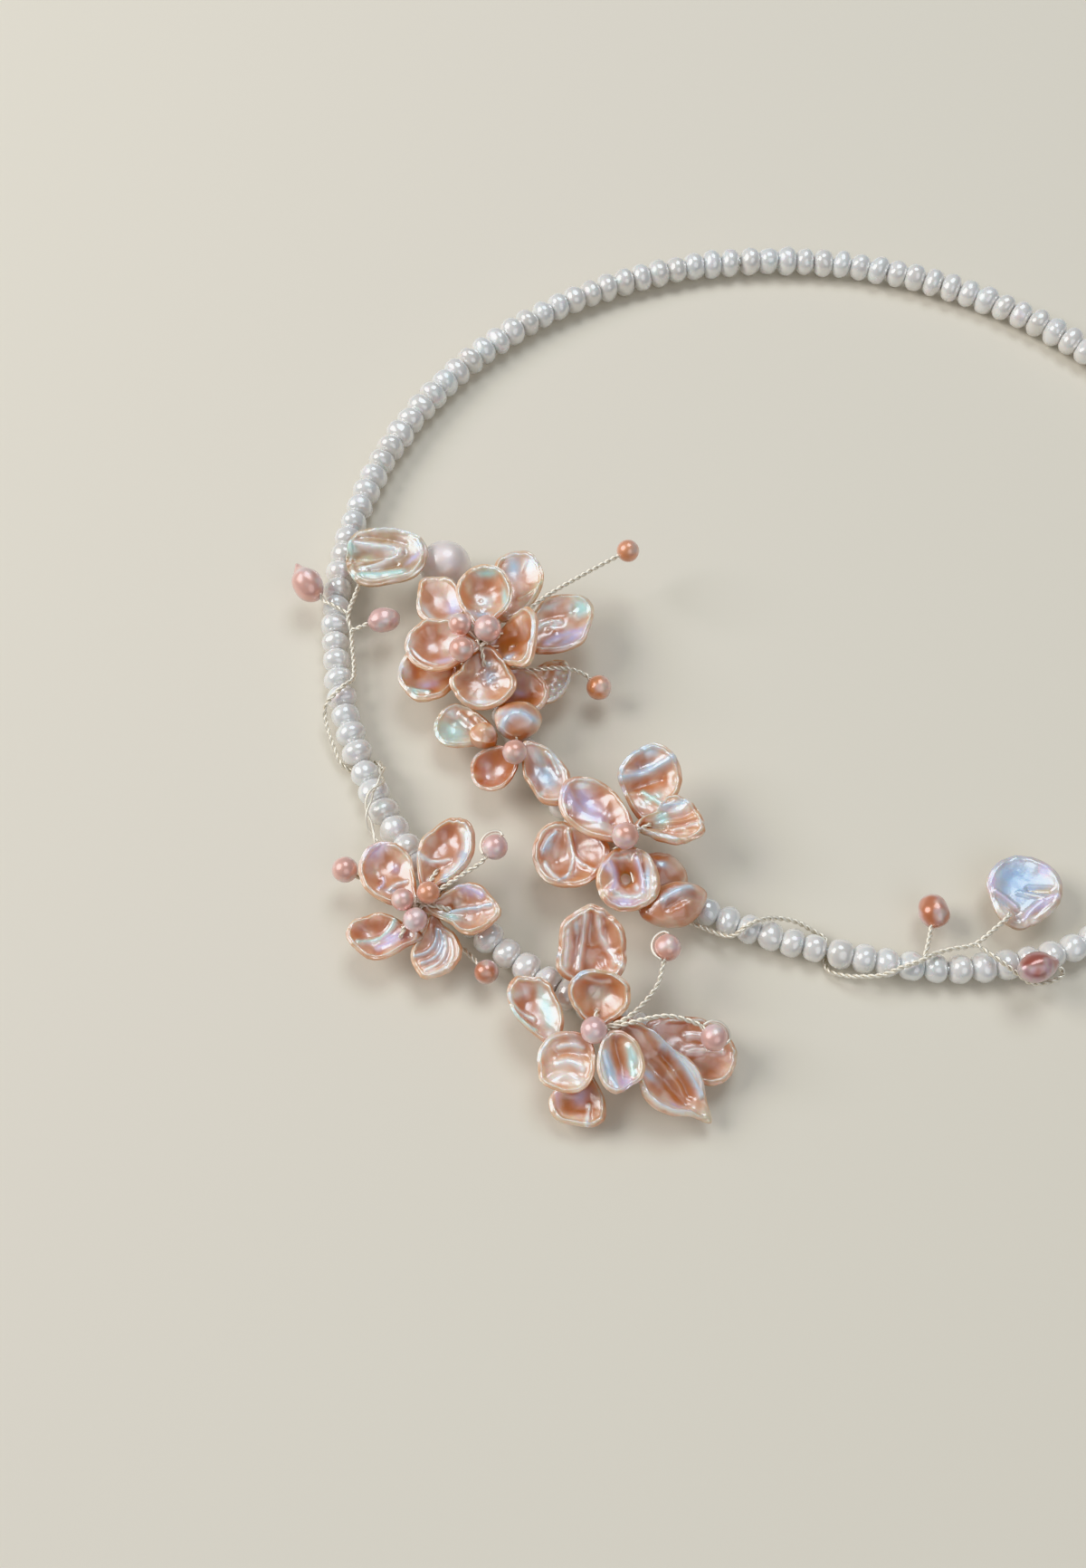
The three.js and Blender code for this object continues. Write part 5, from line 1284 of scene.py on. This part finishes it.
def build_core(settings):
    """The stiff wire, which shows at the flowers."""
    first, last = STOPS[0][0] - CORE_INSIDE[0], STOPS[-1][0] + CORE_INSIDE[1]
    line = [strand_point(b) for b in np.linspace(first, last, CORE_SAMPLES)]
    piece = grown("stiff_wire", curve_object("stiff_line", [line]), plain_wire(), {
        "Thread radius": settings.strand.wire, "Step": CORE_STEP, "Material": material_named("stiff_metal")})
    settle(piece, ["core_wire"])


# ---- Single pearls ----
LUMPS_ACROSS = 1.1      # lumps on a pearl of radius 1
POINTED_NARROWS, POINTED_REACH = 0.5, 0.35


def lumpy_ball(centre, scale, turn, seed, uneven, point=0.0, rings=24, sectors=40):
    """Corners and faces of a slightly uneven pearl. point draws its +X end out to a tip."""
    corners = [Vector((0, 0, 1))]
    for k in range(1, rings):
        for i in range(sectors):
            rise, angle = math.pi * k / rings, math.tau * i / sectors
            corners.append(Vector((math.sin(rise) * math.cos(angle), math.sin(rise) * math.sin(angle),
                                   math.cos(rise))))
    corners.append(Vector((0, 0, -1)))
    start = Vector((seed * 1.7, seed * 2.3, seed * 0.9))
    made = []
    for c in corners:
        swell = 1 + uneven * noise.noise(c * LUMPS_ACROSS + start)
        ahead = max(c.x, 0)
        narrow = 1 - POINTED_NARROWS * point * ahead ** 3
        shaped = Vector((c.x + POINTED_REACH * point * ahead ** 8, c.y * narrow, c.z * narrow))
        made.append(centre + turn @ (shaped * Vector(scale)) * swell)
    faces = []
    last = len(corners) - 1
    for i in range(sectors):
        j = (i + 1) % sectors
        faces.append((0, 1 + i, 1 + j))
        faces.append((last, last - sectors + j, last - sectors + i))
        for k in range(rings - 2):
            a, b = 1 + k * sectors, 1 + (k + 1) * sectors
            faces.append((a + i, b + i, b + j, a + j))
    return made, faces


def build_pearls(name, pearls, nodes, finish):
    """One piece of uneven pearls. Each is centre, scale, turn, seed, unevenness, tone and how pointed."""
    corners, faces, tones = [], [], []
    for centre, scale, turn, seed, uneven, tone, point in pearls:
        made, round_faces = lumpy_ball(centre, scale, turn, seed, uneven, point)
        faces += [tuple(len(corners) + i for i in face) for face in round_faces]
        corners += made
        tones += [tone] * len(made)
    mesh = plain_mesh(name, corners, faces, material_named(finish))
    hold(mesh, "tone", "FLOAT", tones)
    settle(new_object(name, mesh), nodes)


def round_pearl(centre, diameter, flat, seed, uneven, tone):
    """A round pearl, flattened to a share of its height."""
    size = diameter / 2 * MM
    return centre, (size, size, size * flat), Matrix.Identity(3), seed, uneven, tone, 0


def build_end_pearl():
    low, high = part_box("end_pearl")
    pearl = round_pearl((low + high) / 2, END_PEARL_RADIUS * 2, 0.98, 5, 0.03, 0.2)
    build_pearls("inner_end_pearl", [pearl], ["end_pearl"], "end_nacre")


def build_small_pearls():
    """Each flower's round pearls, in its middle and on its sprays."""
    for name, flower in FLOWERS.items():
        hub = beside(*flower["hub"])
        pearls = [round_pearl(hub + Vector((x, y, z)) * MM, diameter, 0.95, k, 0.04, tone)
                  for k, (x, y, z, diameter, tone) in enumerate(flower["pearls"], 1)]
        pearls += [round_pearl(hub + Vector(spray["stem"][-1]) * MM, spray["pearl"], 0.97, k, 0.03, spray["tone"])
                   for k, spray in enumerate(flower["sprays"], 11)]
        build_pearls(name + "_pearls", pearls, [], "pink_nacre")


def build_vine_pearls():
    for name, long, wide, heading, pitch, tone, point in VINE_PEARLS:
        low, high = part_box(name)
        turn = direction(heading, pitch).to_track_quat("X", "Z").to_matrix()
        scale = (long / 2 * MM, wide / 2 * MM, wide / 2 * MM)
        pearl = ((low + high) / 2, scale, turn, long * 3, 0.10, tone, point)
        build_pearls(name + "_nacre", [pearl], [name], "pink_nacre")


def build_petals(rows, settings, finish):
    """A piece for each row of a petal table."""
    for row in rows:
        name = row["name"] + "_nacre"
        corners, faces, shape, gleam = petal_surface(row, settings.petals)
        placed = corners @ np.array(petal_axes(row)).T * MM + np.array(petal_root(row))
        mesh = plain_mesh(name, placed, faces, material_named(finish))
        hold(mesh, "shape", "FLOAT_COLOR", shape)
        hold(mesh, "gleam", "FLOAT_COLOR", gleam)
        settle(new_object(name, mesh), [row["name"]])


# ---- Thin wires ----
# Lengths are in mm, and angles in radians unless they say degrees.
WIRE_STEP = 0.16
HUB_TURNS, HUB_RADIUS, HUB_GROWS, HUB_WAVE = 7, 0.75, 0.05, 0.15
COIL_RADIUS, COIL_START, COIL_ADVANCE, COIL_ANGLE, COIL_LENGTH = 0.75, -0.6, 0.28, 3.1, 4.3
UNDER_HUB = 0.7         # below the hub's middle, where the petals' wires run
INTO_PETAL = 0.06       # of the petal's length
LOOP_POINTS, LOOP_FROM, LOOP_SWEEP = 9, 10, 165     # the angles are degrees from the stem
LOOP_REACH, LOOP_END, LOOP_RISE = 1.14, 0.97, 0.25  # of the pearl's radius
STEM_REACH = 0.85       # of the pearl's radius


def hub_rings(hub):
    """Turns of thin wire round a flower's hub, each tilted and a little wider than the last."""
    rings = []
    for turn in range(HUB_TURNS):
        tilt = Quaternion((math.cos(turn * 2.1), math.sin(turn * 2.1), 0.4), 0.5 + 0.35 * turn)
        size = (HUB_RADIUS + HUB_GROWS * turn) * MM
        rings.append([hub + tilt @ Vector((math.cos(a), math.sin(a), HUB_WAVE * math.sin(2 * a))) * size
                      for a in np.linspace(0, math.tau * 0.96, 18)])
    return rings


def tie_coil(bearing):
    """Thin wire wound round the stiff wire where a flower is tied on."""
    foot = strand_point(bearing)
    ahead = (strand_point(bearing - 0.5) - foot).normalized()
    side = ahead.cross(UP).normalized()
    coil = []
    for t in np.linspace(0, COIL_LENGTH, 60):
        around = side * math.cos(t * COIL_ANGLE) + UP * math.sin(t * COIL_ANGLE)
        coil.append(foot + ahead * (COIL_ADVANCE * t + COIL_START) * MM + around * COIL_RADIUS * MM)
    return coil


def petal_stem(row, hub):
    """Thin wire from a flower's hub into the root of a petal."""
    root, under = petal_root(row), UP * UNDER_HUB * MM
    inside = root + petal_axes(row).col[0] * INTO_PETAL * row["length"] * MM
    return smooth_line([hub - under, hub.lerp(root, 0.5) - under, root - under * 0.4, inside], 4)


def petal_tie(row, hub, a, settings):
    """Twisted wire from a flower's hub over a petal and down through the hole that is a share a along it."""
    axes = petal_axes(row)
    hole = petal_root(row) + axes @ Vector((a * row["length"], 0, top_height(row, settings.petals, a, 0))) * MM
    face = axes.col[2] * MM
    over = hub.lerp(hole, 0.5) + face * 0.75
    return smooth_line([hub + face * 0.5, over, hole + face * 0.3, hole - face * 0.4], 6)


def spray_loop(centre, radius, came_from, side):
    """A single thread that leaves the stem's end, goes round one side of the pearl and into its far hole."""
    back = (came_from - centre).normalized()
    across = back.cross(UP).normalized() * side
    line = []
    for k in range(LOOP_POINTS):
        angle = math.radians(LOOP_FROM + LOOP_SWEEP * k / (LOOP_POINTS - 1))
        reach = radius * (LOOP_REACH if k < LOOP_POINTS - 1 else LOOP_END)
        around = back * math.cos(angle) + across * math.sin(angle)
        line.append(centre + around * reach + UP * radius * LOOP_RISE)
    return line


def flower_lines(letter, flower, settings):
    """The twisted and the plain lines of a flower's wires."""
    hub = beside(*flower["hub"])
    foot = strand_point(flower["hub"][0])
    rows = {row["name"]: row for row in PETALS}
    twisted = [[foot, foot.lerp(hub, 0.5), hub]]
    plain = [*hub_rings(hub), tie_coil(flower["hub"][0])]
    plain += [petal_stem(row, hub) for name, row in rows.items() if name.startswith("petal_" + letter)]
    twisted += [petal_tie(rows[name], hub, a, settings) for name, a in flower["ties"]]
    for x, y, z, *_ in flower["pearls"]:
        centre = hub + Vector((x, y, z)) * MM
        plain.append(smooth_line([hub, hub.lerp(centre, 0.6) + Vector((0.2, 0.1, 0)) * MM, centre], 4))
    for spray in flower["sprays"]:
        points = [hub, *[hub + Vector(p) * MM for p in spray["stem"]]]
        radius = spray["pearl"] / 2 * MM
        near = points[-1] + (points[-2] - points[-1]).normalized() * radius * STEM_REACH
        twisted.append(smooth_line([*points[:-1], near]))
        if spray["loop"]:
            plain.append(smooth_line(spray_loop(points[-1], radius, points[-2], spray["loop"]), 3))
    return twisted, plain


def joined_pieces(name, pieces):
    """One object that holds the meshes of several, all at the origin."""
    corners, faces = [], []
    for piece in pieces:
        faces += [tuple(len(corners) + i for i in face.vertices) for face in piece.data.polygons]
        corners += [v.co.copy() for v in piece.data.vertices]
    material = pieces[0].data.materials[0]
    for piece in pieces:
        bpy.data.objects.remove(piece)
    return new_object(name, plain_mesh(name, corners, faces, material))


def build_wires(name, twisted, loose, plain, settings, nodes):
    """One piece of wires, from twisted, loosely twisted and plain lines."""
    wires = settings.wires
    values = {"Thread radius": wires.thread, "Spread": wires.thread * 1.02, "Turn length": wires.turn,
              "Step": WIRE_STEP * MM, "Material": material_named("champagne_metal")}
    slack = {**values, "Spread": wires.loose_spread, "Turn length": wires.loose_turn}
    made = [grown(name + way, curve_object(name + way + "_lines", lines), tree(), inputs)
            for way, lines, tree, inputs in (("_twisted", twisted, twisted_wire, values),
                                             ("_loose", loose, twisted_wire, slack),
                                             ("_plain", plain, plain_wire, values)) if lines]
    settle(joined_pieces(name, made), nodes)


def build_flower_wires(settings):
    """Each flower's stems, ties and sprays as one piece."""
    for name, flower in FLOWERS.items():
        twisted, plain = flower_lines(name[-1], flower, settings)
        build_wires(name + "_twists", twisted, [], plain, settings, [name + "_wire"])


def build_vines(settings):
    """Each vine's wires as one piece."""
    for name, lines in VINES.items():
        twisted, loose = [[smooth_line([beside(*point) for point in line]) for line in group]
                          for group in (lines, LOOSE_TWISTS.get(name, []))]
        build_wires(name + "_twists", twisted, loose, [], settings, [name])


# ---- Stage ----
FLOOR_REACH = 3.0
FLOOR_GLOW = 0.11
BACKDROP = (0.20, 0.19, 0.175)
SKY_COLOUR = (0.90, 0.95, 1.0)
LIT_PLACE = Vector((-0.02, -0.02, 0))
# Each light's place, size in metres and colour. Its power is the setting of the same name.
LIGHTS = {
    "key": ((-0.74, 0.10, 0.58), 0.58, (1.0, 0.99, 0.975)),
    "top": ((0.10, 0.42, 0.88), 0.5, (0.88, 0.95, 1.0)),
    "fill": ((0.30, -0.60, 0.70), 0.8, (0.95, 0.97, 1.0)),
}
LOOK_AT = Vector((-37.2, -27.8, 2.1)) * MM  # from the ring's middle
CAMERA_AWAY = 189.3 * MM
CAMERA_PITCH = 63.03
LENS, SENSOR = 33.26, 36.0


def build_light(name, power):
    place, size, colour = LIGHTS[name]
    lamp = bpy.data.lights.new(name + "_light", "AREA")
    lamp.shape, lamp.size, lamp.energy, lamp.color = "DISK", size, power, colour
    made = new_object(name + "_light", lamp)
    made.location = place
    made.rotation_euler = (LIT_PLACE - Vector(place)).to_track_quat("-Z", "Y").to_euler()


def build_floor(colour):
    material, tree, shader = new_material("floor")
    set_shader(tree, shader, {"Base Color": (*colour, 1), "Roughness": 0.85, "Emission Color": (*colour, 1),
                              "Emission Strength": FLOOR_GLOW})
    mesh = bpy.data.meshes.new("floor")
    mesh.from_pydata([(x * FLOOR_REACH, y * FLOOR_REACH, 0) for x, y in ((-1, -1), (1, -1), (1, 1), (-1, 1))], [],
                     [(0, 1, 2, 3)])
    mesh.materials.append(material)
    new_object("floor", mesh)


def build_stage(settings):
    """The floor, the lights, an even light from all round and the plain backdrop that the camera sees."""
    build_floor(settings.stage.floor)
    for name in LIGHTS:
        build_light(name, getattr(settings.stage, name))
    world = bpy.data.worlds.new("studio")
    world.use_nodes = True
    tree = world.node_tree
    sky, out = [next(n for n in tree.nodes if n.type == kind) for kind in ("BACKGROUND", "OUTPUT_WORLD")]
    set_shader(tree, sky, {"Color": (*SKY_COLOUR, 1), "Strength": settings.stage.sky})
    seen = node(tree, "ShaderNodeBackground", {"Color": (*BACKDROP, 1), "Strength": 1.0}).outputs[0]
    straight = node(tree, "ShaderNodeLightPath").outputs["Is Camera Ray"]
    both = node(tree, "ShaderNodeMixShader", {0: straight, 1: sky.outputs[0], 2: seen})
    tree.links.new(both.outputs[0], out.inputs["Surface"])
    bpy.context.scene.world = world
    bpy.context.scene.view_settings.view_transform = "Khronos PBR Neutral"


def build_camera():
    data = bpy.data.cameras.new("camera")
    data.lens, data.sensor_width, data.sensor_fit = LENS, SENSOR, "AUTO"
    data.clip_start, data.clip_end = 0.01, 20.0
    camera = new_object("camera", data)
    ahead = direction(90, -CAMERA_PITCH)
    camera.location = RING_CENTRE + LOOK_AT - ahead * CAMERA_AWAY
    camera.rotation_euler = ahead.to_track_quat("-Z", "Y").to_euler()
    bpy.context.scene.camera = camera


# ---- Operators ----
class CHOKER_OT_camera(bpy.types.Operator):
    """Place the camera over the flowers"""
    bl_idname = "choker.camera"
    bl_label = "Camera"

    def execute(self, context):
        build_camera()
        return {"FINISHED"}


class CHOKER_OT_strand(bpy.types.Operator):
    """Thread the small white pearls of the strand"""
    bl_idname = "choker.strand"
    bl_label = "Strand pearls"

    def execute(self, context):
        build_strand(context.scene.choker)
        return {"FINISHED"}


class CHOKER_OT_stiff_wire(bpy.types.Operator):
    """Draw the stiff wire inside the strand"""
    bl_idname = "choker.stiff_wire"
    bl_label = "Stiff wire"

    def execute(self, context):
        build_core(context.scene.choker)
        return {"FINISHED"}


class CHOKER_OT_end_pearl(bpy.types.Operator):
    """Set the large pearl on the inner end"""
    bl_idname = "choker.end_pearl"
    bl_label = "End pearl"

    def execute(self, context):
        build_end_pearl()
        return {"FINISHED"}


class CHOKER_OT_petals(bpy.types.Operator):
    """Shape the petal pearls of the five flowers"""
    bl_idname = "choker.petals"
    bl_label = "Petals"

    def execute(self, context):
        build_petals(PETALS, context.scene.choker, "petal_nacre")
        return {"FINISHED"}


class CHOKER_OT_leaves(bpy.types.Operator):
    """Shape the leaf pearls of the two vines"""
    bl_idname = "choker.leaves"
    bl_label = "Leaves"

    def execute(self, context):
        build_petals(LEAVES, context.scene.choker, "leaf_nacre")
        return {"FINISHED"}


class CHOKER_OT_flower_wires(bpy.types.Operator):
    """Wind the wires that hold each flower together"""
    bl_idname = "choker.flower_wires"
    bl_label = "Flower wires"

    def execute(self, context):
        build_flower_wires(context.scene.choker)
        return {"FINISHED"}


class CHOKER_OT_small_pearls(bpy.types.Operator):
    """Set the round pearls in the flowers and on their sprays"""
    bl_idname = "choker.small_pearls"
    bl_label = "Small pearls"

    def execute(self, context):
        build_small_pearls()
        return {"FINISHED"}


class CHOKER_OT_vines(bpy.types.Operator):
    """Wind the two vines of twisted wire"""
    bl_idname = "choker.vines"
    bl_label = "Vines"

    def execute(self, context):
        build_vines(context.scene.choker)
        return {"FINISHED"}


class CHOKER_OT_vine_pearls(bpy.types.Operator):
    """Set the oval pearls on the vines"""
    bl_idname = "choker.vine_pearls"
    bl_label = "Vine pearls"

    def execute(self, context):
        build_vine_pearls()
        return {"FINISHED"}


class CHOKER_OT_stage(bpy.types.Operator):
    """Lay the floor and hang the lights"""
    bl_idname = "choker.stage"
    bl_label = "Stage"

    def execute(self, context):
        build_stage(context.scene.choker)
        return {"FINISHED"}


OPERATORS = (
    CHOKER_OT_camera, CHOKER_OT_stage, CHOKER_OT_strand, CHOKER_OT_stiff_wire, CHOKER_OT_end_pearl,
    CHOKER_OT_petals, CHOKER_OT_leaves, CHOKER_OT_flower_wires, CHOKER_OT_small_pearls, CHOKER_OT_vines,
    CHOKER_OT_vine_pearls,
)


class CHOKER_PT_panel(bpy.types.Panel):
    """Lists the choker's pieces and their settings"""
    bl_label = "Pearl choker"
    bl_idname = "CHOKER_PT_panel"
    bl_space_type = "VIEW_3D"
    bl_region_type = "UI"
    bl_category = "Choker"

    def draw(self, context):
        layout = self.layout
        for operator in OPERATORS:
            layout.operator(operator.bl_idname)
        for group in ("strand", "petals", "pearls", "wires", "stage"):
            settings = getattr(context.scene.choker, group)
            box = layout.box()
            box.label(text=group.capitalize())
            for name in settings.__annotations__:
                box.prop(settings, name)


CLASSES = (ChokerStrand, ChokerPetals, ChokerPearls, ChokerWires, ChokerStage, ChokerSettings, *OPERATORS,
           CHOKER_PT_panel)


def register():
    for made in CLASSES:
        bpy.utils.register_class(made)
    bpy.types.Scene.choker = PointerProperty(type=ChokerSettings)


def unregister():
    del bpy.types.Scene.choker
    for made in reversed(CLASSES):
        bpy.utils.unregister_class(made)


def main():
    register()
    for operator in OPERATORS:
        group, name = operator.bl_idname.split(".")
        if getattr(getattr(bpy.ops, group), name)() != {"FINISHED"}:
            raise RuntimeError(operator.bl_label + " did not finish")


if __name__ == "__main__":
    main()
